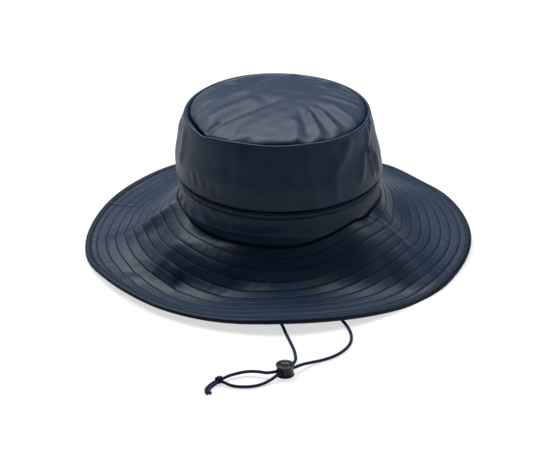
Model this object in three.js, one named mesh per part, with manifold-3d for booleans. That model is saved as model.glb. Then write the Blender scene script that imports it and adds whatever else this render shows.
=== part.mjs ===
// Rain hat of coated cloth with a wide stitched brim and a chin cord, at rest on its brim.
// Millimetres, +Z up. The origin is under the middle of the hat, on the surface that it rests on.
// The front is -Y. The side seams are at azimuth 0 (+X) and azimuth 180 (-X).
import * as THREE from 'three';
import Module from 'manifold-3d';
import { mergeVertices } from 'three/addons/utils/BufferGeometryUtils.js';

const wasm = await Module();
wasm.setup();

// Where the crown's axis stands, so that the origin is under the middle of the brim
const hatAxis = [2.1, 0.35];

// Cloth
const clothThickness = 1.6;   // crown and band: coated cloth with its taped seams
const brimThickness = 1.6;    // two layers of the cloth over a thin wadding, stitched flat
const seamGap = 0.3;          // clearance between neighbouring pieces
const steps = 72;             // facets round the hat
const brimBands = 8;          // facets from the brim's root to its edge

// Crown: radius and height of the outer surface, from the band seam up to the tip seam
const crownColumns = ['radius', 'height'];
const crownRows = [
  [93.2, 75.5], [93, 84], [92.2, 95], [89.2, 110], [87, 123], [85.2, 132],
  [83.8, 134.4], [81.75, 132.6],
];
const crownBeadRows = 2;      // the last rows are the lip that rolls in over the tip seam
const crownLean = 3;          // how far the tip stands off the axis
const crownLeanAzimuth = 203; // towards the wearer's left and front
const bandSeamHeight = 75.5;
const tipSeamHeight = 132.6;
const tipRadius = 81.4;
const tipRise = 15;           // how far the tip domes above its seam
const tipFullness = 0.9;      // 1 is a paraboloid, less is flatter on top
const tipRings = 4;

// Crown folds: soft upright waves of the side wall. Height is how far they stand out.
const crownFoldColumns = ['azimuth', 'width', 'height'];
const crownFoldRows = [
  [20, 9, 1.0], [38, 7, -1.0], [62, 10, 1.2], [95, 12, -0.9], [130, 10, 1.1], [165, 9, -1.0],
  [205, 8, 1.0], [222, 5, 0.7], [273, 6, 0.9], [292, 5, 0.7], [312, 6, 1.1], [328, 6, 0.9],
  [346, 6, 0.8], [359, 5, 1.2],
];

// Band: the strip between the band seam and the brim. It leans in towards its middle.
const bandTopRadius = 92.9;
const bandWaist = 1.6;        // how far its middle is drawn in
const bandRings = 4;

// Brim: each row is the cloth's line from the crown out to the edge at one azimuth.
// Slopes are degrees below level, and reaches say how far each end holds its slope.
const brimColumns = ['azimuth', 'rootRadius', 'rootHeight', 'rootSlope', 'rootReach',
  'edgeRadius', 'edgeHeight', 'edgeSlope', 'edgeReach'];
const brimRows = [
  [1, 91.2, 52, 44, 30, 172, 3.2, 13, 34],
  [23, 92.7, 51, 65, 36, 175.7, 7, 9, 50],
  [48, 94, 50, 42, 30, 174.9, 11.5, 8, 42],
  [62, 94, 50, 42, 28, 173.5, 11.2, 7, 38],
  [78, 94, 50, 46, 28, 174.7, 12.8, 6, 34],
  [113, 94, 50, 50, 30, 174, 2.45, 0, 42],
  [143, 94, 50, 42, 30, 175, 12, 2, 32],
  [168, 94, 50, 52, 32, 176, 9, -6, 42],
  [188, 94, 49, 55, 30, 175.9, 6, 0, 40],
  [203, 93.2, 47.7, 37, 30, 177.5, 3.1, 2, 39],
  [211, 92.9, 46.9, 31, 30, 177.9, 2.1, 0, 40],
  [219, 92.4, 46.9, 42, 27, 177.6, 4.2, -1, 47],
  [230, 92.6, 47.6, 30, 40, 175, 6.8, -16, 46],
  [243, 93.2, 43.6, 4, 46, 173.6, 7.6, -22, 56],
  [258, 93.6, 42.5, 14, 39, 174.8, 8.2, -18, 66],
  [275, 94, 42.6, 50, 49, 175, 9.2, -5, 66],
  [293, 94, 42, 65, 49, 174.3, 11.4, 5, 38],
  [306, 93.8, 43.4, 67, 49, 172.3, 10, 8, 33],
  [320, 93.6, 48.2, 58, 49, 170.4, 6.8, 3, 44],
  [338, 92.4, 53.4, 24, 45, 169.7, 2.3, 0, 42],
  [350, 91.1, 50.2, 12, 31, 172, 2.9, 9, 16],
];

// Brim folds: ridges and valleys that run out from the crown, from one azimuth at the crown to
// another at the edge. The widths are degrees of azimuth to each side, the shares say where along
// the cloth a fold starts and dies out, and sharpness goes from round on top (0) to a tent (1).
const brimFoldColumns = ['crownAzimuth', 'edgeAzimuth', 'lowWidth', 'highWidth', 'height',
  'startShare', 'endShare', 'sharpness'];
const brimFoldRows = [
  [213.5, 208.5, 5, 13, 6.5, -0.3, 0.95, 0.8],
  [200, 197, 7, 7, -4.5, -0.2, 0.9, 0],
  [352, 358, 5, 8, 2.2, 0.02, 0.95, 0.8],
  [62, 62, 12, 14, 2.5, 0.1, 0.9, 0],
];

// Edge binding: a strip folded over the brim's edge
const bindingWall = 1;
const bindingGap = 0.5;       // to the brim's faces: the facets of the two twist a little apart
const bindingReach = 5;       // how far it covers the brim
const bindingNose = 1.2;      // from the brim's end to the outermost line

// Chin cord, its tabs, its lock and its knot
const cordDiameter = 2.8;
const cordSides = 8;
const tabWidth = 12;
const tabThickness = 3.6;
const tabTop = 66;
const tabBottom = 38;
const leftTabFace = 89;       // from the axis to the face against the band
const rightTabFace = 88.1;
const lockCentre = [101.4, -227.5];
const lockAzimuth = 243;      // the way that the cords run through it
const lockSegments = 24;
const lockRadius = 7.9;
const lockWaist = 7.1;
const lockHeight = 10.4;
const lockFlange = 1.1;       // height of the base flange's straight side
const lockCollar = 9;         // height at which the collar is full width
const lockChamfer = 0.4;
const lockBore = 5.6;
const lockFloor = 0.7;
const lockCordHeight = 5;     // the cords' middle, above the surface
const lockArchRadius = 2;
const lockArchOffset = 2.6;   // each arch's middle, to the side of the lock's axis
const buttonRadius = lockBore - seamGap;
const buttonTop = 10;
const buttonDish = 0.3;
const buttonDishRadius = 3.8;
const buttonTravel = 1.3;
const buttonFoot = 1;         // the bar under the cords
const buttonSlotHalfWidth = 4.2;
const buttonSlotBottom = lockCordHeight - cordDiameter / 2 - seamGap;
const buttonSlotTop = lockCordHeight + cordDiameter / 2 + seamGap + buttonTravel;
const knotCentre = [56.2, -262.8, 3.5];
const knotRadius = 3.4;

const colours = {
  cloth: new THREE.Color(0x1c2738),
  binding: new THREE.Color(0x151e2d),
  cord: new THREE.Color(0x141c29),
  plastic: new THREE.Color(0x1f2735),
};

const degrees = Math.PI / 180;

function named(columns, rows) {
  return rows.map((row) => Object.fromEntries(columns.map((column, i) => [column, row[i]])));
}

const crown = named(crownColumns, crownRows);
const crownFolds = named(crownFoldColumns, crownFoldRows);
const brim = named(brimColumns, brimRows);
const brimFolds = named(brimFoldColumns, brimFoldRows);

// A column of a table at any azimuth: a cubic curve through its rows that joins up smoothly.
function around(table, column, azimuth) {
  const count = table.length;
  const at = ((azimuth % 360) + 360) % 360;
  let k = table.findIndex((row) => row.azimuth > at);
  if (k < 0) k = count;
  const point = (i) => {
    const turns = Math.floor(i / count);
    const row = table[i - turns * count];
    return [row.azimuth + turns * 360, row[column]];
  };
  const [[a0, v0], [a1, v1], [a2, v2], [a3, v3]] = [k - 2, k - 1, k, k + 1].map(point);
  const span = a2 - a1;
  const t = (at - a1) / span;
  const slope1 = (v2 - v0) / (a2 - a0) * span;
  const slope2 = (v3 - v1) / (a3 - a1) * span;
  return v1 + t * (slope1 + t * (3 * (v2 - v1) - 2 * slope1 - slope2
    + t * (2 * (v1 - v2) + slope1 + slope2)));
}

function turnBetween(a, b) {
  return ((a - b + 540) % 360) - 180;
}

function bell(x) {
  return Math.exp(-x * x);
}

// A peak with straight sides that flatten out, just rounded at the top.
function tent(x) {
  const rounding = 0.02;
  return Math.exp(-1.5 * (Math.sqrt(x * x + rounding) - Math.sqrt(rounding)));
}

function place(radius, height, azimuth) {
  const a = azimuth * degrees;
  return new THREE.Vector3(radius * Math.cos(a), radius * Math.sin(a), height);
}

// The sideways shift of the crown at a height: none at the band seam, all of it at the tip, and
// most of it low down.
function lean(point) {
  const share = Math.min(Math.max((point.z - bandSeamHeight) / (tipSeamHeight - bandSeamHeight), 0), 1);
  const shift = crownLean * (1 - (1 - share) ** 2);
  const a = crownLeanAzimuth * degrees;
  point.x += shift * Math.cos(a);
  point.y += shift * Math.sin(a);
  return point;
}

// A closed mesh of a ring-shaped solid. Each row is its section at one azimuth: a closed loop
// that runs clockwise, seen with the axis on the left.
function ringGeometry(rows) {
  const count = rows[0].length;
  const positions = rows.flat().flatMap((p) => [p.x, p.y, p.z]);
  const index = [];
  rows.forEach((row, i) => {
    const next = (i + 1) % rows.length;
    for (let j = 0; j < count; j++) {
      const k = (j + 1) % count;
      const [a, b, c, d] = [i * count + j, next * count + j, next * count + k, i * count + k];
      index.push(a, c, b, a, d, c);
    }
  });
  return indexed(positions, index);
}

function indexed(positions, index) {
  const geometry = new THREE.BufferGeometry();
  geometry.setAttribute('position', new THREE.Float32BufferAttribute(positions, 3));
  geometry.setIndex(index);
  geometry.computeVertexNormals();
  return geometry;
}

// A wall's section from the line [radius, height] of its outer face: the same line, set in by the
// thickness at right angles to it, gives the inner face. The first beadPoints have no inner face.
function wallSection(line, thickness, beadPoints = 0) {
  const inner = line.map((point, i) => {
    const before = line[Math.max(i - 1, 0)];
    const after = line[Math.min(i + 1, line.length - 1)];
    const [dr, dz] = [after[0] - before[0], after[1] - before[1]];
    const size = Math.hypot(dr, dz);
    return [point[0] + thickness * dz / size, point[1] - thickness * dr / size];
  });
  return [...line, ...inner.slice(beadPoints).reverse()];
}

function material(colour, roughness, metalness = 0) {
  return new THREE.MeshStandardMaterial({ color: colour, roughness, metalness });
}

function mesh(name, geometry, finish) {
  const piece = new THREE.Mesh(geometry, finish);
  piece.name = name;
  return piece;
}

const azimuths = Array.from({ length: steps }, (_, i) => i * 360 / steps);

// Crown

function crownFoldDepth(azimuth, height) {
  const share = (height - bandSeamHeight) / (tipSeamHeight - bandSeamHeight);
  const envelope = Math.sin(Math.PI * Math.min(Math.max(share, 0), 1));
  return envelope * crownFolds.reduce(
    (sum, fold) => sum + fold.height * bell(turnBetween(azimuth, fold.azimuth) / fold.width), 0);
}

function crownSideGeometry() {
  return ringGeometry(azimuths.map((azimuth) => {
    const line = crown.map(({ radius, height }) => [radius + crownFoldDepth(azimuth, height), height]);
    return wallSection(line.reverse(), clothThickness, crownBeadRows).map(
      ([radius, height]) => lean(place(radius, height, azimuth)));
  }));
}

function tipHeight(share) {
  return tipSeamHeight - seamGap + tipRise * (1 - share * share) ** tipFullness;
}

function crownTipGeometry() {
  const a = crownLeanAzimuth * degrees;
  const positions = [];
  const index = [];
  const put = (share, azimuth, drop) => {
    const point = place(tipRadius * share, tipHeight(share) - drop, azimuth);
    positions.push(point.x + crownLean * Math.cos(a), point.y + crownLean * Math.sin(a), point.z);
  };
  const layer = (drop) => {
    const pole = positions.length / 3;
    put(0, 0, drop);
    for (let ring = 1; ring <= tipRings; ring++) {
      azimuths.forEach((azimuth) => put(ring / tipRings, azimuth, drop));
    }
    return (ring, i) => (ring ? pole + 1 + (ring - 1) * steps + i % steps : pole);
  };
  const quad = (p, q, r, t) => index.push(p, q, r, p, r, t);
  const top = layer(0);
  const under = layer(clothThickness);
  azimuths.forEach((_, i) => {
    index.push(top(0, i), top(1, i), top(1, i + 1), under(0, i), under(1, i + 1), under(1, i));
    for (let ring = 1; ring < tipRings; ring++) {
      quad(top(ring, i), top(ring + 1, i), top(ring + 1, i + 1), top(ring, i + 1));
      quad(under(ring, i), under(ring, i + 1), under(ring + 1, i + 1), under(ring + 1, i));
    }
    quad(top(tipRings, i), under(tipRings, i), under(tipRings, i + 1), top(tipRings, i + 1));
  });
  return indexed(positions, index);
}

// Band

function bandGeometry() {
  const top = bandSeamHeight - seamGap;
  return ringGeometry(azimuths.map((azimuth) => {
    const bottom = around(brim, 'rootHeight', azimuth) + brimFoldHeight(azimuth, 0) + seamGap;
    const rootRadius = around(brim, 'rootRadius', azimuth);
    const line = Array.from({ length: bandRings + 1 }, (_, i) => {
      const share = i / bandRings;
      const drawnIn = bandWaist * Math.sin(Math.PI * share);
      return [bandTopRadius + (rootRadius - bandTopRadius) * share - drawnIn, top + (bottom - top) * share];
    });
    const inner = line.map(([radius, height]) => [radius - clothThickness, height]).reverse();
    return [...line, ...inner].map(([radius, height]) => place(radius, height, azimuth));
  }));
}

// Brim

function brimFoldHeight(azimuth, share) {
  return brimFolds.reduce((sum, fold) => {
    const middle = fold.crownAzimuth + (fold.edgeAzimuth - fold.crownAzimuth) * share;
    const turn = turnBetween(azimuth, middle);
    const away = Math.abs(turn) / (turn < 0 ? fold.lowWidth : fold.highWidth);
    const across = fold.sharpness * tent(away) + (1 - fold.sharpness) * bell(away);
    const along = (share - fold.startShare) / (fold.endShare - fold.startShare);
    const envelope = along > 0 && along < 1 ? Math.sin(Math.PI * along) : 0;
    return sum + fold.height * envelope * across;
  }, 0);
}

// Points of the upper face from root to edge, [radius, height], evenly spaced along the curve.
function brimLine(azimuth) {
  const [rootRadius, rootHeight, rootSlope, rootReach, edgeRadius, edgeHeight, edgeSlope, edgeReach] =
    brimColumns.slice(1).map((column) => around(brim, column, azimuth));
  const curve = new THREE.CubicBezierCurve(
    new THREE.Vector2(rootRadius, rootHeight),
    new THREE.Vector2(rootRadius + rootReach * Math.cos(rootSlope * degrees),
      rootHeight - rootReach * Math.sin(rootSlope * degrees)),
    new THREE.Vector2(edgeRadius - edgeReach * Math.cos(edgeSlope * degrees),
      edgeHeight + edgeReach * Math.sin(edgeSlope * degrees)),
    new THREE.Vector2(edgeRadius, edgeHeight));
  return curve.getSpacedPoints(brimBands).map(
    (point, i) => [point.x, point.y + brimFoldHeight(azimuth, i / brimBands)]);
}

function brimGeometry() {
  return ringGeometry(azimuths.map((azimuth) => wallSection(brimLine(azimuth), brimThickness).map(
    ([radius, height]) => place(radius, height, azimuth))));
}

// The binding's section is a U: [along the brim, across it], from the brim's end and middle.
function bindingSection() {
  const half = brimThickness / 2 + bindingGap;
  const outer = half + bindingWall;
  return [
    [-bindingReach, outer], [bindingNose / 2, outer], [bindingNose + seamGap, 0],
    [bindingNose / 2, -outer], [-bindingReach, -outer], [-bindingReach, -half],
    [seamGap, -half], [seamGap, half], [-bindingReach, half],
  ];
}

// Where the binding meets the surface it is pressed flat.
function bindingGeometry() {
  return ringGeometry(azimuths.map((azimuth) => {
    const [inner, end] = brimLine(azimuth).slice(-2);
    const size = Math.hypot(end[0] - inner[0], end[1] - inner[1]);
    const [alongR, alongZ] = [(end[0] - inner[0]) / size, (end[1] - inner[1]) / size];
    const middle = [end[0] + alongZ * brimThickness / 2, end[1] - alongR * brimThickness / 2];
    return bindingSection().map(([along, across]) => place(
      middle[0] + along * alongR - across * alongZ,
      Math.max(middle[1] + along * alongZ + across * alongR, 0), azimuth));
  }));
}

// Solids for cutting and joining

function solid(geometry, matrix = new THREE.Matrix4()) {
  const bare = geometry.clone().applyMatrix4(matrix);
  bare.deleteAttribute('normal');
  bare.deleteAttribute('uv');
  const merged = mergeVertices(bare, 1e-4);
  const corners = Array.from(merged.index.array);
  const triangles = [];
  for (let i = 0; i < corners.length; i += 3) {
    const [p, q, r] = corners.slice(i, i + 3);
    if (p !== q && q !== r && r !== p) triangles.push(p, q, r);
  }
  return new wasm.Manifold(new wasm.Mesh({
    numProp: 3,
    vertProperties: merged.attributes.position.array,
    triVerts: Uint32Array.from(triangles),
  }));
}

function geometryOf(body) {
  const { vertProperties, triVerts } = body.getMesh();
  return indexed(Array.from(vertProperties), Array.from(triVerts));
}

function lathe(profile) {
  const points = profile.map(([radius, height]) => new THREE.Vector2(radius, height));
  return new THREE.LatheGeometry(points, lockSegments).rotateX(Math.PI / 2);
}

function tube(points, tubeSteps) {
  const section = new THREE.Shape(Array.from({ length: cordSides }, (_, i) => {
    const a = (i + 0.5) * 2 * Math.PI / cordSides;
    return new THREE.Vector2(cordDiameter / 2 * Math.cos(a), cordDiameter / 2 * Math.sin(a));
  }));
  const path = new THREE.CatmullRomCurve3(
    points.map((point) => new THREE.Vector3(...point)), false, 'centripetal');
  return new THREE.ExtrudeGeometry(section, { steps: tubeSteps, extrudePath: path, bevelEnabled: false });
}

// Chin cord: each half leaves its tab inside the crown, drops to the surface, runs forward under
// the brim, through the lock and to the knot.

const leftCordRoute = [
  [-87.2, 0, 37.6], [-87.2, -0.6, 30], [-87, -3, 19.5], [-86.2, -8.5, 9.5], [-84.8, -17, 3.4],
  [-81.5, -27, 1.6], [-76.5, -39, 1.5], [-69, -53, 1.5], [-59, -68, 1.5], [-46.5, -82, 1.5],
  [-31, -95, 1.5], [-12.5, -105.5, 1.5], [7.5, -113.5, 1.5], [28, -121.5, 1.5], [47, -132.5, 1.5],
  [63.8, -147.5, 1.5], [75.9, -164, 1.5], [85.5, -177, 1.5], [92.5, -187, 1.6], [98, -197, 2.4],
  [102.4, -207.5, 4], [103.3, -218.4, 5], [99.2, -226.4, 5], [95.2, -234.2, 4.8], [89.4, -238.2, 3.2],
  [81, -238.4, 1.7], [72.5, -241.2, 1.5], [65.5, -247, 1.5], [60.6, -253, 1.8], [57.7, -259.3, 2.9],
];
const rightCordRoute = [
  [86.3, 0, 37.6], [86.3, -0.6, 30], [86.3, -3, 19.5], [85.6, -8.5, 9.5], [84, -17, 3.4],
  [80.2, -27, 1.6], [76.2, -39, 1.5], [74, -52, 1.5], [74.4, -66, 1.5], [77.6, -80, 1.5],
  [84.6, -93, 1.5], [95.5, -105.5, 1.5], [108, -118.5, 1.5], [119.5, -130.5, 1.5],
  [128.4, -144.1, 1.5], [132.6, -157, 1.5], [132.3, -171.4, 1.5], [128, -184.8, 1.5],
  [121, -195.4, 1.6], [115, -204, 2.6], [110.9, -213, 4.4], [107.6, -220.6, 5],
  [103.6, -228.6, 5], [99.5, -236.6, 4.8], [94.8, -246.4, 2.4], [87.5, -256.8, 1.5],
  [78, -262.8, 1.5], [68.6, -265, 1.8], [59.8, -263.9, 2.9],
];
const tailRoutes = [
  [knotCentre, [53.3, -266.2, 2.4], [51.4, -271.5, 1.5], [51.2, -277.5, 1.5], [53, -282.4, 1.5],
    [55.6, -285, 1.5]],
  [knotCentre, [56, -267, 2.6], [54.4, -271.8, 1.6], [54.2, -276.5, 1.5], [55.8, -280, 1.5],
    [58, -282, 1.5]],
];
const leftCordSteps = 44;
const rightCordSteps = 38;
const tailSteps = 6;

function tabGeometry(side, face) {
  const geometry = new THREE.BoxGeometry(tabThickness, tabWidth, tabTop - tabBottom);
  return geometry.translate(side * (face - tabThickness / 2), 0, (tabTop + tabBottom) / 2);
}

function knotGeometry() {
  const [x, y, z] = knotCentre;
  const knot = solid(new THREE.SphereGeometry(knotRadius, 12, 8).translate(x, y, z));
  return geometryOf(tailRoutes.reduce((body, route) => body.add(solid(tube(route, tailSteps))), knot));
}

// Cord lock, in its own frame: the cords run along X and the button slides down along Z.

function lockBodyGeometry() {
  const shell = solid(lathe([
    [0, 0], [lockRadius - lockChamfer, 0], [lockRadius, lockChamfer], [lockRadius, lockFlange],
    [lockWaist, lockFlange + 1], [lockWaist, lockCollar - 1], [lockRadius, lockCollar],
    [lockRadius, lockHeight - lockChamfer], [lockRadius - lockChamfer, lockHeight],
    [lockBore, lockHeight], [lockBore, lockFloor], [0, lockFloor],
  ]));
  const alongX = new THREE.Matrix4().makeBasis(
    new THREE.Vector3(0, 1, 0), new THREE.Vector3(0, 0, 1), new THREE.Vector3(1, 0, 0));
  const arches = [-1, 1].map((side) => {
    const arch = new THREE.Shape();
    const middle = side * lockArchOffset;
    arch.moveTo(middle - lockArchRadius, buttonSlotBottom);
    arch.lineTo(middle + lockArchRadius, buttonSlotBottom);
    arch.absarc(middle, lockCordHeight + 0.2, lockArchRadius, 0, Math.PI, false);
    arch.closePath();
    const cutter = new THREE.ExtrudeGeometry(
      arch, { depth: 4 * lockRadius, bevelEnabled: false, curveSegments: 8 });
    return solid(cutter.translate(0, 0, -2 * lockRadius), alongX);
  });
  return geometryOf(arches.reduce((body, arch) => body.subtract(arch), shell));
}

function lockButtonGeometry() {
  const plunger = solid(lathe([
    [0, buttonSlotBottom - buttonFoot], [buttonRadius, buttonSlotBottom - buttonFoot],
    [buttonRadius, buttonTop - lockChamfer], [buttonRadius - lockChamfer, buttonTop],
    [buttonDishRadius, buttonTop], [buttonDishRadius - buttonDish, buttonTop - buttonDish],
    [0, buttonTop - buttonDish],
  ]));
  const slotHeight = buttonSlotTop - buttonSlotBottom;
  const slot = new THREE.BoxGeometry(4 * buttonRadius, 2 * buttonSlotHalfWidth, slotHeight);
  return geometryOf(plunger.subtract(solid(slot.translate(0, 0, buttonSlotBottom + slotHeight / 2))));
}

// The hat

const coatedCloth = material(colours.cloth, 0.42);
const bindingCloth = material(colours.binding, 0.5);
const braidedCord = material(colours.cord, 0.75);
const mouldedPlastic = material(colours.plastic, 0.35);

const hat = new THREE.Group();
hat.position.set(hatAxis[0], hatAxis[1], 0);
hat.add(mesh('crown_tip', crownTipGeometry(), coatedCloth));
hat.add(mesh('crown_side', crownSideGeometry(), coatedCloth.clone()));
hat.add(mesh('hat_band', bandGeometry(), coatedCloth.clone()));
hat.add(mesh('brim', brimGeometry(), coatedCloth.clone()));
hat.add(mesh('brim_binding', bindingGeometry(), bindingCloth));
hat.add(mesh('cord_tab_left', tabGeometry(-1, leftTabFace), coatedCloth.clone()));
hat.add(mesh('cord_tab_right', tabGeometry(1, rightTabFace), coatedCloth.clone()));
hat.add(mesh('cord_left', tube(leftCordRoute, leftCordSteps), braidedCord));
hat.add(mesh('cord_right', tube(rightCordRoute, rightCordSteps), braidedCord.clone()));
hat.add(mesh('cord_knot', knotGeometry(), braidedCord.clone()));

const lock = new THREE.Group();
lock.position.set(lockCentre[0], lockCentre[1], 0);
lock.rotation.z = lockAzimuth * degrees;
lock.add(mesh('lock_body', lockBodyGeometry(), mouldedPlastic));
lock.add(mesh('lock_button', lockButtonGeometry(), mouldedPlastic.clone()));
hat.add(lock);

const root = new THREE.Group();
root.add(hat);

export default root;
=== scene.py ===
import math

import bpy
import numpy as np
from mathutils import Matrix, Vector


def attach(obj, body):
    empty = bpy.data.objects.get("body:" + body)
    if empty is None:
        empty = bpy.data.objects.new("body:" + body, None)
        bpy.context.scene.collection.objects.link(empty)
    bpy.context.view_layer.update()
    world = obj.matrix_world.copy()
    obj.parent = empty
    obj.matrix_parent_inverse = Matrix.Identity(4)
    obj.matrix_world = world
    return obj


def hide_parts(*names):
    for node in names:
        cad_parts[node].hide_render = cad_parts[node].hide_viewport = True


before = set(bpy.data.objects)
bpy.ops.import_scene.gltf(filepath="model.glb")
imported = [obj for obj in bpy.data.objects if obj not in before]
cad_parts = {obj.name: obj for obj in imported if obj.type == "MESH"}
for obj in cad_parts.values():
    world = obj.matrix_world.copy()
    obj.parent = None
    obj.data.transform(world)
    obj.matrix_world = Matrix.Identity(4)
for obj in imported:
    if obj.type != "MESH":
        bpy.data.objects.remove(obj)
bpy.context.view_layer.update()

# Rain hat of coated cloth with a wide stitched brim and a chin cord, at rest on its brim.
# Metres, +Z up, front -Y. Azimuths are degrees about the crown's axis; the side seams are near 0 and 180.
# Every cloth line runs from the middle of the hat outwards and down, so its outer side is on its left.

hatAxis = np.array([0.0021, 0.00035, 0.0])
print("frame loaded:", len(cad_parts), "nodes")


# Numbers and curves

# The side wall and the band are rolled out flat at one radius, and their ripples are taken on a circle, so
# that they join up. The side seams, in the brim as well, are grooves of one width.
walls = {"radius": 0.092, "seams": (0, 180), "seamWidth": 0.0007, "rippleRadius": 0.09}


def smooth(x):
    # 0 below 0, 1 above 1, and an S between: 3x2 - 2x3
    x = np.clip(x, 0, 1)
    return x * x * (3 - 2 * x)


def bell(distance, width):
    # 1 in the middle and falling off to both sides: exp(-(distance / width)^2)
    return np.exp(-(distance / width) ** 2)


def crest(away, sharp):
    # A ridge across, at widths away from its line: round on top (sharp 0) or like a tent (sharp 1)
    tentTop = np.exp(-1.5 * (np.sqrt(away ** 2 + 0.02) - 0.141))
    return sharp * tentTop + (1 - sharp) * bell(away, 1)


def turnBetween(a, b):
    # degrees from b to a, from -180 to 180
    return np.mod(a - b + 180, 360) - 180


def cubicPiece(start, end, leave, arrive, t):
    # From start at t = 0 to end at t = 1 with the slopes leave and arrive, as a cubic
    return start + t * (leave + t * (3 * (end - start) - 2 * leave - arrive
                                     + t * (2 * (start - end) + leave + arrive)))


def aroundTable(rows, azimuth):
    # A table's columns at any azimuth, its first column: a cubic curve through the rows, whose slope at
    # each row is that between its neighbours, and which joins up after a full turn.
    table = np.array(rows, float)
    knots = np.concatenate([table[-2:, 0] - 360, table[:, 0], table[:2, 0] + 360])
    values = np.concatenate([table[-2:, 1:], table[:, 1:], table[:2, 1:]])
    slopes = (values[2:] - values[:-2]) / (knots[2:] - knots[:-2])[:, None]
    turn = np.mod(azimuth, 360)
    first = np.searchsorted(knots, turn, side="right") - 1
    span = (knots[first + 1] - knots[first])[:, None]
    t = (turn - knots[first])[:, None] / span
    return cubicPiece(values[first], values[first + 1], slopes[first - 1] * span, slopes[first] * span, t)


def smoothLine(points, shares):
    # A line through the points, taken at shares of its length: cubic pieces, whose slopes at the points
    # come from their neighbours.
    points = np.array(points, float)
    knots = np.concatenate([[0], np.cumsum(np.linalg.norm(np.diff(points, axis=0), axis=1))])
    slopes = np.gradient(points, knots, axis=0)
    at = np.asarray(shares, float) * knots[-1]
    first = np.clip(np.searchsorted(knots, at, side="right") - 1, 0, len(knots) - 2)
    span = (knots[first + 1] - knots[first])[:, None]
    t = (at - knots[first])[:, None] / span
    return cubicPiece(points[first], points[first + 1], slopes[first] * span, slopes[first + 1] * span, t)


def lineNormals(radius, height):
    # The outward normals of cloth lines in their own plane: their direction turned left by 90 degrees
    runR, runZ = np.gradient(radius, axis=1), np.gradient(height, axis=1)
    size = np.hypot(runR, runZ) + 1e-12
    return -runZ / size, runR / size


def raised(radius, height, depth):
    # Cloth lines moved out along their normals by depth
    normalR, normalZ = lineNormals(radius, height)
    return radius + normalR * depth, height + normalZ * depth


def placed(azimuth, radius, height, shift=0.0):
    # Points of cloth lines stood round the crown's axis; shift moves them towards the crown's lean
    a = np.radians(azimuth)[:, None]
    lean = math.radians(crown["leanAzimuth"])
    x = radius * np.cos(a) + shift * math.cos(lean)
    y = radius * np.sin(a) + shift * math.sin(lean)
    return np.stack([x, y, height + 0 * x], axis=-1) + hatAxis


def foldDepths(rows, plane, azimuth, along):
    # The sum of a piece's folds. Each fold runs on the cloth from (azimuth, along) to (azimuth, along), bowed
    # to the right by its bend. Its height falls off with one width to the right of its line, seen from
    # outside, and with another to the left, and it eases to nothing over the line's first and last quarter.
    total = np.zeros(np.broadcast(azimuth, along).shape)
    for startTurn, startAlong, endTurn, endAlong, rightWidth, leftWidth, height, sharp, bend in rows:
        x, y = plane(azimuth, along, startTurn)
        x0, y0 = plane(startTurn, startAlong, startTurn)
        x1, y1 = plane(endTurn, endAlong, startTurn)
        length = math.hypot(x1 - x0, y1 - y0)
        share = ((x - x0) * (x1 - x0) + (y - y0) * (y1 - y0)) / length ** 2
        beside = ((x - x0) * (y1 - y0) - (y - y0) * (x1 - x0)) / length
        beside = beside - bend * 4 * np.clip(share, 0, 1) * (1 - np.clip(share, 0, 1))
        away = np.abs(beside) / np.where(beside > 0, rightWidth, leftWidth)
        ends = smooth(share * 4) * smooth((1 - share) * 4)
        total = total + height * ends * crest(away, sharp)
    return total


def ripples(x, y, wavelength, count, seed):
    # Small soft unevenness from -1 to 1 or so: the sum of waves of about one length in seeded directions
    chance = np.random.default_rng(seed)
    total = 0
    for _ in range(count):
        turn, phase = chance.uniform(0, 2 * math.pi, 2)
        pitch = 2 * math.pi / (wavelength * chance.uniform(0.7, 1.5))
        total = total + np.cos(pitch * (x * math.cos(turn) + y * math.sin(turn)) + phase)
    return total / math.sqrt(count)


def wallPlane(azimuth, along, start):
    # A wall rolled out flat: metres round it from the fold's start, and metres along its line
    return np.radians(turnBetween(azimuth, start)) * walls["radius"], along


def sideSeamGroove(azimuth, depth):
    # How deep the two side seams lie in a wall at azimuths in degrees: depth times a bell across each seam
    away = [np.radians(turnBetween(azimuth, seam)) * walls["radius"] for seam in walls["seams"]]
    return depth * sum(bell(distance, walls["seamWidth"]) for distance in away)


def fanPlane(azimuth, along, start=0):
    # A disc or a brim seen from above, the same wherever a fold starts: along is the distance from the axis,
    # measured along the cloth
    a = np.radians(azimuth)
    return along * np.cos(a), along * np.sin(a)


def gatheredShares(centres, spread, evenSteps):
    # Shares from 0 to 1 with evenly spread ones and extra ones close to each centre
    close = np.array([-1.6, -0.8, -0.4, 0, 0.4, 0.8, 1.6]) * spread
    shares = np.concatenate([np.linspace(0, 1, evenSteps), (np.array(centres)[:, None] + close).ravel()])
    shares = np.unique(np.clip(shares, 0, 1))
    return shares[np.concatenate([[True], np.diff(shares) > spread * 0.2])]


# Materials

def linear(hexColour):
    # an sRGB hex colour as linear red, green, blue and alpha
    shares = [int(hexColour[i:i + 2], 16) / 255 for i in (1, 3, 5)]
    return [c / 12.92 if c <= 0.04045 else ((c + 0.055) / 1.055) ** 2.4 for c in shares] + [1]


def addNode(tree, kind, inputs=None, **settings):
    # a shader node with its settings; a socket given as an input is linked, anything else is its value
    made = tree.nodes.new("ShaderNode" + kind)
    for key, value in settings.items():
        setattr(made, key, value)
    for key, value in (inputs or {}).items():
        if isinstance(value, bpy.types.NodeSocket):
            tree.links.new(value, made.inputs[key])
        else:
            made.inputs[key].default_value = value
    return made


def newMaterial(name):
    made = bpy.data.materials.new(name)
    made.use_nodes = True
    made.node_tree.nodes.clear()
    return made, made.node_tree


def finishMaterial(tree, inputs):
    # the surface that has these inputs is the material's output
    addNode(tree, "OutputMaterial", {"Surface": addNode(tree, "BsdfPrincipled", inputs).outputs[0]})


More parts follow.
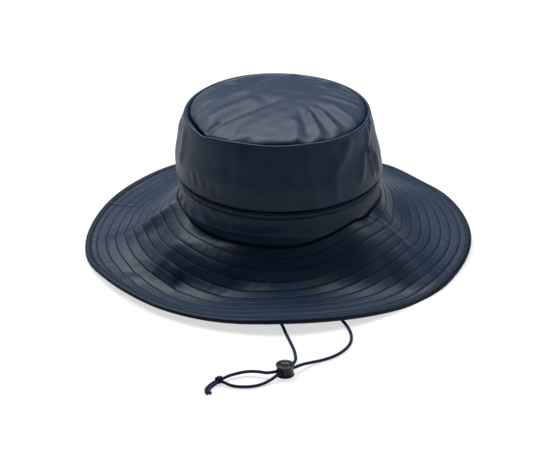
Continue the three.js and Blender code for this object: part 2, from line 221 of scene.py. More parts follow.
def addNoise(tree, place, size, detail, **inputs):
    return addNode(tree, "TexNoise", {"Vector": place, "Scale": 1 / size, "Detail": detail,
                                      **inputs}).outputs["Fac"]


def addBump(tree, height, strength, distance, **inputs):
    return addNode(tree, "Bump", {"Height": height, "Strength": strength, "Distance": distance,
                                  **inputs}).outputs[0]


def addSpread(tree, noise, span):
    # the middle of a noise's range spread over a span of values
    low, high = span
    return addNode(tree, "MapRange", {"Value": noise, "From Min": 0.3, "From Max": 0.7, "To Min": low,
                                      "To Max": high}).outputs[0]


def addMix(tree, share, first, second):
    return addNode(tree, "MixRGB", {"Fac": share, "Color1": first, "Color2": second}).outputs[0]


def addMath(tree, operation, *values):
    return addNode(tree, "Math", dict(enumerate(values)), operation=operation).outputs[0]


def addPaintedShade(tree):
    # how much painted shade a piece has at a point, as addPiece stores it: darkness painted into its seams,
    # grooves and creases, where shade falls
    return addNode(tree, "Attribute", attribute_name="paintedShade").outputs["Fac"]


def coatedCloth(name, settings):
    # Plain-woven polyester with a calendered polyurethane coat: a smooth satin film that mirrors the sky
    # softly, with the weave showing through faintly, and painted shade in its seams and grooves, which are
    # made darker, duller and less reflective.
    made, tree = newMaterial(name)
    place = addNode(tree, "TexCoord").outputs["Object"]
    cloud = addNoise(tree, place, settings["cloudSize"], 3)
    grain = addNoise(tree, place, settings["grainSize"], 2)
    crumple = addNoise(tree, place, settings["crumpleSize"], 4, Roughness=0.45)
    paintedShade = addPaintedShade(tree)
    tint = addMix(tree, cloud, linear(settings["darkHex"]), linear(settings["lightHex"]))
    # painted shade: where the attribute marks a seam or groove, the tint turns near black, rougher and less
    # reflective
    sewn = addMix(tree, paintedShade, tint, linear(settings["paintedShadeHex"]))
    gloss = addSpread(tree, cloud, settings["roughness"])
    dull = addMath(tree, "MULTIPLY", paintedShade, settings["paintedShadeRoughness"])
    rough = addMath(tree, "ADD", gloss, dull)
    shine = addMath(tree, "MULTIPLY_ADD", paintedShade, -settings["specular"], settings["specular"])
    cloth = addNode(tree, "UVMap", uv_map="cloth").outputs[0]
    # the real cloth's threads are 0.25 mm apart; here they are twice that, so that they show
    threads = [addNode(tree, "TexWave", {"Vector": cloth, "Scale": 1 / (settings["threadSize"] * 20)},
                       bands_direction=direction).outputs["Fac"] for direction in "XY"]
    weave = addMath(tree, "MULTIPLY", *threads)
    fine = addBump(tree, grain, settings["grainStrength"], 0.0002)
    woven = addBump(tree, weave, settings["weaveStrength"], 0.0001, Normal=fine)
    creased = addBump(tree, crumple, settings["crumpleStrength"], 0.002, Normal=woven)
    finishMaterial(tree, {"Base Color": sewn, "Roughness": rough, "IOR": settings["ior"],
                          "Specular IOR Level": shine, "Normal": creased})
    return made


def sewingThread(name, hexColour):
    # Bonded polyester thread: near black and matt
    made, tree = newMaterial(name)
    fuzz = addNoise(tree, addNode(tree, "TexCoord").outputs["Object"], 0.0008, 2)
    finishMaterial(tree, {"Base Color": linear(hexColour), "Roughness": 0.7, "Specular IOR Level": 0.05,
                          "Normal": addBump(tree, fuzz, 0.4, 0.0001)})
    return made


def braidedCord(name, settings):
    # Round braid of filament polyester, matt: the strands are in the mesh, and the filaments are fine noise.
    # Between the strands it has painted shade, from the lighter colour to the darker.
    made, tree = newMaterial(name)
    filaments = addNoise(tree, addNode(tree, "UVMap", uv_map="cloth").outputs[0], 0.0006, 3)
    tint = addMix(tree, addPaintedShade(tree), linear(settings["lightHex"]), linear(settings["darkHex"]))
    finishMaterial(tree, {"Base Color": tint, "Roughness": settings["roughness"],
                          "Specular IOR Level": 0.15, "Normal": addBump(tree, filaments, 0.35, 0.0002)})
    return made


def mouldedPlastic(name, settings):
    # Injection-moulded acetal from a lightly spark-eroded tool: satin, with a fine even grain
    made, tree = newMaterial(name)
    place = addNode(tree, "TexCoord").outputs["Object"]
    grain = addNoise(tree, place, 0.00035, 2)
    gloss = addSpread(tree, addNoise(tree, place, 0.004, 3), settings["roughness"])
    finishMaterial(tree, {"Base Color": linear(settings["hex"]), "Roughness": gloss,
                          "Specular IOR Level": 0.25, "Normal": addBump(tree, grain, 0.15, 0.0001)})
    return made


# the near black colour and the roughness added with it are painted shade for the seams and grooves
clothFinish = {"darkHex": "#0a2137", "lightHex": "#0d263d", "paintedShadeHex": "#020710", "cloudSize": 0.05,
               "grainSize": 0.0007, "crumpleSize": 0.012, "threadSize": 0.0005, "roughness": (0.42, 0.48),
               "paintedShadeRoughness": 0.3, "ior": 1.3, "specular": 0.5, "grainStrength": 0.1,
               "weaveStrength": 0.04, "crumpleStrength": 0.04}
satinNavy = coatedCloth("satin_navy_coated_cloth", clothFinish)
bindingNavy = coatedCloth("navy_binding_cloth", {**clothFinish, "darkHex": "#041325", "lightHex": "#06192d",
                                                 "ior": 1.22})
threadNavy = sewingThread("navy_sewing_thread", "#010409")
# the cord's darker colour is painted shade between its strands
cordNavy = braidedCord("navy_braided_cord",
                       {"lightHex": "#0f2140", "darkHex": "#030916", "roughness": 0.65})
plasticNavy = mouldedPlastic("navy_acetal", {"hex": "#081423", "roughness": (0.3, 0.38)})
print("materials made")


# Meshes

def addPiece(name, points, faceGroups, material, uv=None, paintedShade=None):
    # A mesh from whole arrays. Each face group is an array of faces with one number of corners. If the
    # closed shape comes out inside out, by the sum of its corners' triple products, its faces are turned.
    triples = [np.einsum("ij,ij->i", points[g[:, 0]], np.cross(points[g[:, k]], points[g[:, k + 1]]))
               for g in faceGroups for k in range(1, g.shape[1] - 1)]
    if sum(t.sum() for t in triples) < 0:
        faceGroups = [g[:, ::-1] for g in faceGroups]
    corners = np.concatenate([g.ravel() for g in faceGroups]).astype(np.int32)
    sizes = np.concatenate([np.full(len(g), g.shape[1]) for g in faceGroups])
    starts = np.concatenate([[0], np.cumsum(sizes)[:-1]]).astype(np.int32)
    mesh = bpy.data.meshes.new(name)
    mesh.vertices.add(len(points))
    mesh.vertices.foreach_set("co", points.astype(np.float32).ravel())
    mesh.loops.add(len(corners))
    mesh.loops.foreach_set("vertex_index", corners)
    mesh.polygons.add(len(sizes))
    mesh.polygons.foreach_set("loop_start", starts)
    mesh.update(calc_edges=True)
    flat = points[:, :2] if uv is None else uv
    mesh.uv_layers.new(name="cloth").data.foreach_set("uv", flat[corners].astype(np.float32).ravel())
    # each point's share of painted shade, for the materials
    marks = np.zeros(len(points)) if paintedShade is None else paintedShade
    mesh.attributes.new("paintedShade", "FLOAT", "POINT").data.foreach_set("value", marks.astype(np.float32))
    mesh.shade_smooth()
    mesh.materials.append(material)
    piece = bpy.data.objects.new(name, mesh)
    bpy.context.scene.collection.objects.link(piece)
    return piece


def ringFaces(rows, columns, closedColumns=False):
    # Four-cornered faces of a grid whose rows join up in a ring; its columns may join up as well
    i = np.arange(rows)[:, None]
    j = np.arange(columns if closedColumns else columns - 1)[None, :]
    nextI, nextJ = (i + 1) % rows, (j + 1) % columns
    return np.stack([i * columns + j, nextI * columns + j, nextI * columns + nextJ, i * columns + nextJ],
                    axis=-1).reshape(-1, 4)


def tubeFaces(rings, sides):
    # Four-cornered faces from ring to ring, and the two caps
    i, j = np.arange(rings - 1)[:, None], np.arange(sides)
    k = (j + 1) % sides
    quads = np.stack([i * sides + j, i * sides + k, (i + 1) * sides + k, (i + 1) * sides + j], axis=-1)
    return quads.reshape(-1, 4), np.stack([j[::-1], (rings - 1) * sides + j])


def closedGrid(grid):
    # Points and faces of a ring-shaped grid whose first and last columns are single points on its axis
    rows, columns = grid.shape[0], grid.shape[1] - 2
    i = np.arange(rows)
    nextI = (i + 1) % rows
    points = np.concatenate([grid[0, [0, -1]], grid[:, 1:-1].reshape(-1, grid.shape[-1])])
    topFan = np.stack([0 * i, 2 + nextI * columns, 2 + i * columns], axis=1)
    underFan = np.stack([1 + 0 * i, 1 + (i + 1) * columns, 1 + (nextI + 1) * columns], axis=1)
    return points, [ringFaces(rows, columns) + 2, topFan, underFan]


def wallPiece(name, azimuth, radius, height, thickness, material, shift=0.0, paintedShade=0.0, uv=None):
    # A wall of cloth as one closed shape: the outer face's lines, then the inner face's, which are every
    # eighth of their points set in by the thickness.
    pick = np.unique(np.append(np.arange(0, radius.shape[1], 8), radius.shape[1] - 1))[::-1]
    normalR, normalZ = lineNormals(radius, height)
    shift, marks = shift + 0 * radius, paintedShade + 0 * radius
    outer = placed(azimuth, radius, height, shift)
    inner = placed(azimuth, (radius - normalR * thickness)[:, pick], (height - normalZ * thickness)[:, pick],
                   shift[:, pick])
    flat = outer[..., :2] if uv is None else uv
    grid = np.concatenate([np.concatenate([outer, flat, marks[..., None]], axis=-1),
                           np.concatenate([inner, flat[:, pick], 0 * marks[:, pick, None]], axis=-1)], axis=1)
    if radius[0, 0] < 1e-6:
        values, faces = closedGrid(grid)
    else:
        values, faces = grid.reshape(-1, 6), [ringFaces(*grid.shape[:2], True)]
    return addPiece(name, values[:, :3], faces, material, values[:, 3:5], values[:, 5])


def stitchPiece(name, paths, stitch, material):
    # Rows of machine stitches. Each path is the points along a row and the cloth's normals there. A stitch
    # is a short thread that arches over the cloth and is a quarter as thick at both ends, where the needle
    # took it down: point = path + normal * arch + radius * (side * cos + normal * sin).
    along = np.linspace(-0.5, 0.5, stitch["rings"])
    circle = np.linspace(0, 2 * math.pi, stitch["sides"], endpoint=False)
    arch = stitch["lift"] * (1 - (2 * along) ** 2) - stitch["sink"] * (2 * along) ** 2
    thin = stitch["radius"] * np.sqrt(1.06 - (2 * along) ** 2)
    stitches = []
    for points, normals in paths:
        places = np.concatenate([[0], np.cumsum(np.linalg.norm(np.diff(points, axis=0), axis=1))])
        count = max(int(places[-1] / stitch["pitch"]), 1)
        centre = (np.arange(count) + 0.5) * places[-1] / count
        at = centre[:, None] + along * stitch["length"]
        middle, normal = (np.stack([np.interp(at, places, values[:, k]) for k in range(3)], axis=-1)
                          for values in (points, normals))
        direction = np.gradient(middle, axis=1)
        direction /= np.linalg.norm(direction, axis=-1, keepdims=True)
        side = np.cross(direction, normal)
        ring = side[:, :, None] * np.cos(circle)[:, None] + normal[:, :, None] * np.sin(circle)[:, None]
        stitches.append((middle + normal * arch[:, None])[:, :, None] + ring * thin[:, None, None])
    points = np.concatenate(stitches)
    count, rings, sides = points.shape[:3]
    first = np.arange(count)[:, None, None] * rings * sides
    faces = [(first + group).reshape(-1, group.shape[1]) for group in tubeFaces(rings, sides)]
    return addPiece(name, points.reshape(-1, 3), faces, material)


def rowPath(surface, azimuth, share, turnStep=0.2, shareStep=0.004):
    # A row on a surface and the surface's normals there, from the differences to places a step away. The
    # normals point away from a place inside the hat.
    inside = hatAxis + [0, 0, 0.02]
    points = surface(azimuth, share)
    ahead = surface(azimuth + turnStep, share) - points
    outward = surface(azimuth, share + shareStep) - points
    normals = np.cross(outward, ahead)
    normals *= np.sign(np.einsum("ij,ij->i", normals, points - inside))[:, None]
    return points, normals / np.linalg.norm(normals, axis=1, keepdims=True)


# Camera

cameraSettings = {"azimuth": 23, "elevation": 26.5, "distance": 2.6, "lens": 183.6,
                  "target": (-0.00048, -0.00074, 0.0071)}


def addCamera(settings):
    data = bpy.data.cameras.new("camera")
    data.lens = settings["lens"]
    data.clip_end = 20
    camera = bpy.data.objects.new("camera", data)
    turn, rise = math.radians(settings["azimuth"]), math.radians(settings["elevation"])
    back = Vector((math.sin(turn) * math.cos(rise), -math.cos(turn) * math.cos(rise), math.sin(rise)))
    camera.location = Vector(settings["target"]) + back * settings["distance"]
    camera.rotation_mode = "QUATERNION"
    camera.rotation_quaternion = (-back).to_track_quat("-Z", "Y")
    bpy.context.scene.collection.objects.link(camera)
    bpy.context.scene.camera = camera


addCamera(cameraSettings)
print("camera placed")


# Chin cord: each half leaves its tab inside the crown, drops to the surface, runs forward under the brim,
# through the lock and to the knot. The points are measured from the crown's axis.

cord = {
    "diameter": 0.0028,
    "sides": 24,
    "ringSpacing": 0.0003,
    "strands": 6,             # each way round
    "relief": 0.00012,
    "headingReach": 40,       # rings ahead that a drop takes its heading from
    "left": [
        (-0.0872, 0, 0.0376), (-0.0872, -0.0006, 0.03), (-0.087, -0.003, 0.0195), (-0.0862, -0.0085, 0.0095),
        (-0.0848, -0.017, 0.0034), (-0.0815, -0.027, 0.0016), (-0.0765, -0.039, 0.0015),
        (-0.069, -0.053, 0.0015), (-0.059, -0.068, 0.0015), (-0.0465, -0.082, 0.0015),
        (-0.031, -0.095, 0.0015), (-0.0125, -0.1055, 0.0015), (0.0075, -0.1135, 0.0015),
        (0.028, -0.1215, 0.0015), (0.047, -0.1325, 0.0015), (0.0638, -0.1475, 0.0015),
        (0.0759, -0.164, 0.0015), (0.0855, -0.177, 0.0015), (0.0925, -0.187, 0.0016),
        (0.098, -0.197, 0.0024), (0.1024, -0.2075, 0.004), (0.1033, -0.2184, 0.005),
        (0.0992, -0.2264, 0.005), (0.0952, -0.2342, 0.005), (0.0894, -0.2380, 0.0047),
        (0.081, -0.2386, 0.0042), (0.0725, -0.2412, 0.0037), (0.0655, -0.247, 0.0033),
        (0.0606, -0.253, 0.003), (0.0577, -0.2593, 0.0029)],
    "right": [
        (0.0863, 0, 0.0376), (0.0863, -0.0006, 0.03), (0.0863, -0.003, 0.0195), (0.0856, -0.0085, 0.0095),
        (0.084, -0.017, 0.0034), (0.0802, -0.027, 0.0016), (0.0762, -0.039, 0.0015), (0.074, -0.052, 0.0015),
        (0.0744, -0.066, 0.0015), (0.0776, -0.08, 0.0015), (0.0846, -0.093, 0.0015),
        (0.0955, -0.1055, 0.0015), (0.108, -0.1185, 0.0015), (0.1195, -0.1305, 0.0015),
        (0.1284, -0.1441, 0.0015), (0.1326, -0.157, 0.0015), (0.1323, -0.1714, 0.0015),
        (0.128, -0.1848, 0.0015), (0.121, -0.1954, 0.0016), (0.115, -0.204, 0.0026),
        (0.1109, -0.213, 0.0044), (0.1076, -0.2206, 0.005), (0.1036, -0.2286, 0.005),
        (0.0995, -0.2366, 0.0048), (0.0948, -0.2464, 0.0024), (0.0875, -0.2568, 0.0015),
        (0.078, -0.2628, 0.0015), (0.0686, -0.265, 0.0018), (0.0598, -0.2639, 0.0029)],
}


def cordGrid(path, diameter, settings):
    # A braided tube along a path: point = path + (radius + relief) * (side * cos + up * sin). The relief is
    # the higher of two sets of strands that wind round the cord, one each way, at 45 degrees. The third array
    # is the painted shade between the strands, highest where the relief is lowest.
    direction = np.gradient(path, axis=0)
    direction /= np.linalg.norm(direction, axis=1, keepdims=True)
    heading = direction * [1, 1, 0] + 1e-3 * (path[-1] - path[0])
    reach = settings["headingReach"]
    heading = np.concatenate([heading[reach:], np.repeat(heading[-1:], reach, axis=0)])[:len(path)]
    heading /= np.linalg.norm(heading * [1, 1, 0], axis=1, keepdims=True)
    upward = np.array([0, 0, 1]) * (1 - np.abs(direction[:, 2:])) - direction[:, 2:] * heading
    side = np.cross(direction, upward)
    side /= np.linalg.norm(side, axis=1, keepdims=True)
    upward = np.cross(side, direction)
    turn = np.linspace(0, 2 * math.pi, settings["sides"], endpoint=False)
    along = np.concatenate([[0], np.cumsum(np.linalg.norm(np.diff(path, axis=0), axis=1))])[:, None]
    wind = settings["strands"] * turn
    advance = settings["strands"] * along / (diameter / 2)
    strand = np.maximum(np.cos(wind + advance), np.cos(wind - advance + math.pi / 2))
    radius = diameter / 2 + settings["relief"] * (strand - 1)
    ring = side[:, None] * np.cos(turn)[:, None] + upward[:, None] * np.sin(turn)[:, None]
    points = path[:, None] + ring * radius[..., None]
    uv = np.stack([along + 0 * turn, turn * diameter / 2 + 0 * along], axis=-1)
    return points, uv, (1 - strand) / 2


def cordPiece(name, path, settings, material):
    points, uv, paintedShade = cordGrid(path, settings["diameter"], settings)
    return addPiece(name, points.reshape(-1, 3), tubeFaces(*points.shape[:2]), material, uv.reshape(-1, 2),
                    paintedShade.ravel())


def cordPath(route, settings):
    rough = smoothLine(route, np.linspace(0, 1, 400))
    length = np.linalg.norm(np.diff(rough, axis=0), axis=1).sum()
    return smoothLine(route, np.linspace(0, 1, int(length / settings["ringSpacing"]))) + hatAxis, length


leftPath, leftLength = cordPath(cord["left"], cord)
rightPath, rightLength = cordPath(cord["right"], cord)
cordLeft = cordPiece("chin_cord_left", leftPath, cord, cordNavy)
cordRight = cordPiece("chin_cord_right", rightPath, cord, cordNavy)
print("cords laid: left", round(leftLength, 4), "m, right", round(rightLength, 4), "m")

# Knot: the two ends side by side, with a little over two turns of cord round them, and two short tails

knot = {
    "centre": (0.0562, -0.2628, 0.0035),
    "wrapRadius": 0.0022,
    "wrapTurns": 2.2,
    "wrapLength": 0.0045,
    "wrapDiameter": 0.0026,
    "wrapStart": 0.6,         # radians
    "wrapRings": 90,
    "wrapEnds": 0.35,         # how much less wide the wrap is at its ends
    "strandDiameter": 0.0027,
    "strandOffset": 0.0008,
    "strandRings": 110,
    "enter": [(0.0577, -0.2593, 0.0029), (0.0598, -0.2639, 0.0029)],
    "tails": [
        [(0.0533, -0.2662, 0.0024), (0.0514, -0.2715, 0.0015), (0.0512, -0.2775, 0.0015),
         (0.053, -0.2824, 0.0015), (0.0556, -0.285, 0.0015)],
        [(0.0559, -0.2668, 0.0026), (0.054, -0.2716, 0.0016), (0.0537, -0.2768, 0.0015),
         (0.0551, -0.2808, 0.0015), (0.0574, -0.2832, 0.0015)]],
}


def knotPiece(settings, cordSettings, material):
    # Three tubes joined in one mesh: two that cross the knot into the tails, and a helix round them whose
    # axis runs from where the cords come in to where the tails go out.
    centre = np.array(settings["centre"])
    enter = np.mean(settings["enter"], axis=0)
    leave = np.mean([tail[0] for tail in settings["tails"]], axis=0)
    axis = (leave - enter) / np.linalg.norm(leave - enter)
    side = np.cross(axis, [0, 0, 1])
    side /= np.linalg.norm(side)
    upward = np.cross(side, axis)
    t = np.linspace(0, 1, settings["wrapRings"])[:, None]
    angle = t * settings["wrapTurns"] * 2 * math.pi + settings["wrapStart"]
    swell = settings["wrapRadius"] * (1 - settings["wrapEnds"] * (2 * t - 1) ** 4)
    helix = centre + axis * (t - 0.5) * settings["wrapLength"] + swell * (
        side * np.cos(angle) + upward * np.sin(angle))
    helix[:, 2] = np.maximum(helix[:, 2], settings["wrapDiameter"] / 2)
    tubes = [(helix, settings["wrapDiameter"])]
    for start, tail, way in zip(settings["enter"], settings["tails"], (-1, 1)):
        route = [start, centre + side * way * settings["strandOffset"], *tail]
        strand = smoothLine(route, np.linspace(0, 1, settings["strandRings"]))
        tubes.append((strand, settings["strandDiameter"]))
    pieces = [cordPiece("knot_strand", path + hatAxis, {**cordSettings, "diameter": diameter}, material)
              for path, diameter in tubes]
    with bpy.context.temp_override(active_object=pieces[0], selected_editable_objects=pieces):
        bpy.ops.object.join()
    pieces[0].name = "chin_cord_knot"
    return pieces[0]


cordKnot = knotPiece(knot, cord, cordNavy)
print("knot tied")


# Cord lock: a spool-shaped body with two arched holes, and a dished button that slides down in its bore

lock = {
    "centre": (0.1014, -0.2275),
    "azimuth": 243,
    "segments": 96,
    "body": [(0, 0), (0.0070, 0), (0.0076, 0.0001), (0.0079, 0.0004), (0.0079, 0.0009), (0.0077, 0.0012),
             (0.0073, 0.0018), (0.0071, 0.0026), (0.0071, 0.0066), (0.0072, 0.0076), (0.0075, 0.0084),
             (0.0079, 0.009), (0.0079, 0.0098), (0.0078, 0.0102), (0.0074, 0.0104), (0.0061, 0.0104),
             (0.0057, 0.0102), (0.0056, 0.0098), (0.0056, 0.0007), (0, 0.0007)],
    "button": [(0, 0.0023), (0.0053, 0.0023), (0.0053, 0.0095), (0.0052, 0.0098), (0.0049, 0.01),
               (0.0042, 0.01), (0.0038, 0.0099), (0.0035, 0.0097), (0.0020, 0.0096), (0, 0.0096)],
    "archRadius": 0.002,
    "archOffset": 0.0026,
    "archPoints": 13,
    "holeBottom": 0.0033,
    "archHeight": 0.0052,
    "cutLength": 0.02,        # of the arches' cutters, to each side
    "slot": (0.022, 0.0084, 0.0033, 0.008),     # length, width, bottom and top
    "sharpAngle": 40,
}


def lockFrame(points, settings):
    # from the lock's own frame, cords along X, to the hat's
    a = math.radians(settings["azimuth"])
    x, y, z = points[..., 0], points[..., 1], points[..., 2]
    turned = np.stack([x * math.cos(a) - y * math.sin(a), x * math.sin(a) + y * math.cos(a), z], axis=-1)
    return turned + [*settings["centre"], 0] + hatAxis


def turnedPiece(name, profile, settings, material):
    # A profile of radius and height turned about the lock's axis
    profile = np.array(profile)
    turn = np.linspace(0, 2 * math.pi, settings["segments"], endpoint=False)[:, None]
    grid = np.stack([profile[:, 0] * np.cos(turn), profile[:, 0] * np.sin(turn),
                     profile[:, 1] + 0 * turn], axis=-1)
    points, faces = closedGrid(lockFrame(grid, settings))
    return addPiece(name, points, faces, material)


def prismPiece(name, outline, reach, settings, material):
    # A flat outline in Y and Z, drawn out along X to both sides
    outline = np.array(outline)
    ends = [np.concatenate([np.full((len(outline), 1), way * reach), outline], axis=1) for way in (-1, 1)]
    return addPiece(name, lockFrame(np.concatenate(ends), settings), tubeFaces(2, len(outline)), material)


def cutAway(piece, cutters):
    # A piece less its cutters, as a plain mesh
    for cutter in cutters:
        cut = piece.modifiers.new("cut", "BOOLEAN")
        cut.object = cutter
        cut.solver = "EXACT"
    bpy.context.view_layer.update()
    cutMesh = bpy.data.meshes.new_from_object(piece.evaluated_get(bpy.context.evaluated_depsgraph_get()))
    piece.modifiers.clear()
    piece.data = cutMesh
    for cutter in cutters:
        bpy.data.objects.remove(cutter)
    return piece


def shadeByAngle(piece, degrees):
    # smooth shading, with edges sharper than an angle kept crisp
    piece.data.shade_smooth()
    piece.data.set_sharp_from_angle(angle=math.radians(degrees))


def lockPieces(settings, material):
    body = turnedPiece("lock_body_moulded", settings["body"], settings, material)
    bend = np.linspace(0, math.pi, settings["archPoints"])
    arches = []
    for way in (-1, 1):
        middle, radius = way * settings["archOffset"], settings["archRadius"]
        outline = [(middle - radius, settings["holeBottom"]), (middle + radius, settings["holeBottom"]),
                   *zip(middle + radius * np.cos(bend), settings["archHeight"] + radius * np.sin(bend))]
        arches.append(prismPiece("arch", outline, settings["cutLength"], settings, material))
    cutAway(body, arches)
    button = turnedPiece("lock_button_moulded", settings["button"], settings, material)
    length, width, low, high = settings["slot"]
    slot = prismPiece("slot", [(-width / 2, low), (width / 2, low), (width / 2, high), (-width / 2, high)],
                      length / 2, settings, material)
    cutAway(button, [slot])
    shadeByAngle(body, settings["sharpAngle"])
    shadeByAngle(button, settings["sharpAngle"])
    return body, button


lockBody, lockButton = lockPieces(lock, plasticNavy)
print("cord lock moulded")


# Crown side: the lip that rolls in over the tip seam, the wall, and the turn into the band seam

crown = {
    "steps": 720,
    "spans": [(0, 0.2, 20), (0.2, 0.94, 34), (0.94, 1, 12)],    # of its line: from, to, how many points
    "thickness": 0.0012,
    "leanAzimuth": 203,
    "lean": 0.003,
    "leanFrom": 0.0755,
    "leanTo": 0.1326,
    # radius and height of the outer face, from inside the tip seam to inside the band seam
    "line": [(0.0824, 0.1290), (0.0821, 0.1310), (0.0825, 0.1327), (0.0836, 0.1338), (0.0848, 0.1335),
             (0.0856, 0.1308), (0.0870, 0.123), (0.0892, 0.110), (0.0922, 0.095), (0.0930, 0.084),
             (0.0933, 0.0774), (0.0929, 0.0760), (0.0916, 0.0757)],
    "lipHeight": 0.118,
    # the lip round the hat: azimuth, how far it stands up, how far out, how far it rolls in over the seam
    "lip": [(20, 0.0004, -0.0002, 0), (60, 0, -0.0004, 0), (100, 0, -0.0004, 0), (140, 0, -0.0004, 0),
            (180, -0.0014, -0.0012, 0), (200, -0.0018, -0.0014, 0.0022), (216, -0.0004, -0.0006, 0.0034),
            (228, 0.0004, 0, 0.0030), (237, -0.0008, 0.0004, 0.0012), (243, -0.0014, 0.0004, 0),
            (250, 0.0008, 0, 0), (260, 0.0020, -0.0006, 0), (272, 0.0028, -0.0010, 0),
            (283, 0.0026, -0.0008, 0), (297, 0.0026, -0.0006, 0), (312, 0.0026, -0.0008, 0),
            (325, 0.0018, -0.0004, 0), (345, 0.0010, -0.0002, 0)],
    "rollShare": 0.1,         # share of the line, from inside the seam, that rolls in
    # folds: azimuth and height of both ends, widths to the right and left, height, sharpness, bend
    "folds": [
        (20, 0.070, 20, 0.136, 0.014, 0.014, 0.0010, 0, 0),
        (38, 0.070, 38, 0.136, 0.011, 0.011, -0.0010, 0, 0),
        (62, 0.070, 62, 0.136, 0.016, 0.016, 0.0012, 0, 0),
        (95, 0.070, 95, 0.136, 0.019, 0.019, -0.0009, 0, 0),
        (130, 0.070, 130, 0.136, 0.016, 0.016, 0.0011, 0, 0),
        (165, 0.070, 165, 0.136, 0.014, 0.014, -0.0010, 0, 0),
        (205, 0.070, 205, 0.136, 0.013, 0.013, 0.0010, 0, 0),
        (220, 0.088, 223, 0.132, 0.006, 0.006, 0.0013, 0, 0),
        (233, 0.097, 236, 0.084, 0.0028, 0.0034, -0.0005, 0.1, 0),
        (239, 0.099, 242.5, 0.082, 0.0026, 0.0034, -0.0009, 0.1, 0),
        (247.5, 0.095, 250, 0.081, 0.0026, 0.0036, -0.0006, 0.1, 0),
        (254.5, 0.092, 257, 0.079, 0.0028, 0.0036, -0.0007, 0.1, 0),
        (262, 0.078, 262, 0.112, 0.005, 0.006, 0.0005, 0, 0),
        (273.5, 0.070, 271, 0.136, 0.006, 0.008, 0.0008, 0, 0),
        (281, 0.074, 283, 0.098, 0.0025, 0.003, 0.0009, 0.3, 0),
        (292.5, 0.070, 290.5, 0.124, 0.005, 0.008, 0.0008, 0.1, 0),
        (303, 0.072, 305, 0.110, 0.005, 0.006, -0.0006, 0, 0),
        (316, 0.068, 309, 0.130, 0.006, 0.007, 0.0013, 0.1, 0),
        (325, 0.072, 329, 0.124, 0.006, 0.006, 0.0011, 0, 0),
        (327, 0.102, 345, 0.133, 0.006, 0.006, 0.0013, 0, 0),
        (344, 0.084, 356, 0.118, 0.004, 0.005, 0.0015, 0.3, 0),
        (361, 0.080, 357, 0.120, 0.003, 0.004, 0.0020, 0.5, 0),
        (357.5, 0.104, 362, 0.130, 0.003, 0.004, 0.0015, 0.4, 0),
        (359, 0.116, 374, 0.134, 0.0035, 0.0035, 0.0014, 0.4, 0),
        (363.5, 0.082, 363, 0.118, 0.003, 0.003, -0.0013, 0.2, 0),
        (369, 0.078, 368, 0.105, 0.004, 0.004, 0.0013, 0, 0)],
    "ripple": 0.00006,
    "rippleSize": 0.016,
    "rippleFrom": 0.0757,     # heights where the ripples fade out, and how fast
    "rippleTo": 0.1335,
    "rippleFade": 0.012,
    "seamDepth": 0.0005,
    "rollDark": 0.035,        # painted shade inside this share of the line, in the roll
    "seamDark": 0.0774,       # and painted shade below this height, at the band seam
    "seamDarkFade": 0.0014,
}


def crownSideLines(azimuth):
    shares = np.unique(np.concatenate([np.linspace(*span) for span in crown["spans"]]))
    turn = azimuth[:, None]
    radius, height = (line + 0 * turn for line in smoothLine(crown["line"], shares).T)
    depth = foldDepths(crown["folds"], wallPlane, turn, height)
    fade = crown["rippleFade"]
    quiet = smooth((height - crown["rippleFrom"]) / fade) * smooth((crown["rippleTo"] - height) / fade)
    x, y = fanPlane(turn, walls["rippleRadius"])
    depth += crown["ripple"] * quiet * ripples(x, height + y, crown["rippleSize"], 12, 3)
    depth -= sideSeamGroove(turn, crown["seamDepth"])
    radius, height = raised(radius, height, depth)
    up, out, roll = aroundTable(crown["lip"], azimuth).T[..., None]
    near = smooth((height - crown["lipHeight"]) / (crown["leanTo"] - crown["lipHeight"]))
    height = height + up * near
    radius = radius + out * near - roll * smooth(1 - shares / crown["rollShare"])
    share = np.clip((height - crown["leanFrom"]) / (crown["leanTo"] - crown["leanFrom"]), 0, 1)
    uv = np.stack([np.radians(turn) * walls["radius"] + 0 * height, height], axis=-1)
    # painted shade: dark at the band seam and inside the roll over the tip seam, where shade falls
    paintedShade = np.maximum(smooth((crown["seamDark"] - height) / crown["seamDarkFade"]),
                       smooth(1.5 - shares / crown["rollDark"]))
    return radius, height, crown["lean"] * (1 - (1 - share) ** 2), uv, paintedShade


crownAzimuth = np.arange(crown["steps"]) * 360 / crown["steps"]
sideRadius, sideHeight, sideShift, sideUv, sideDitch = crownSideLines(crownAzimuth)
crownSide = wallPiece("crown_side_cloth", crownAzimuth, sideRadius, sideHeight, crown["thickness"], satinNavy,
                      shift=sideShift, paintedShade=sideDitch, uv=sideUv)
print("crown side sewn")


# Crown tip: a dome whose rim turns down into the seam, with soft folds that fan out to the seam

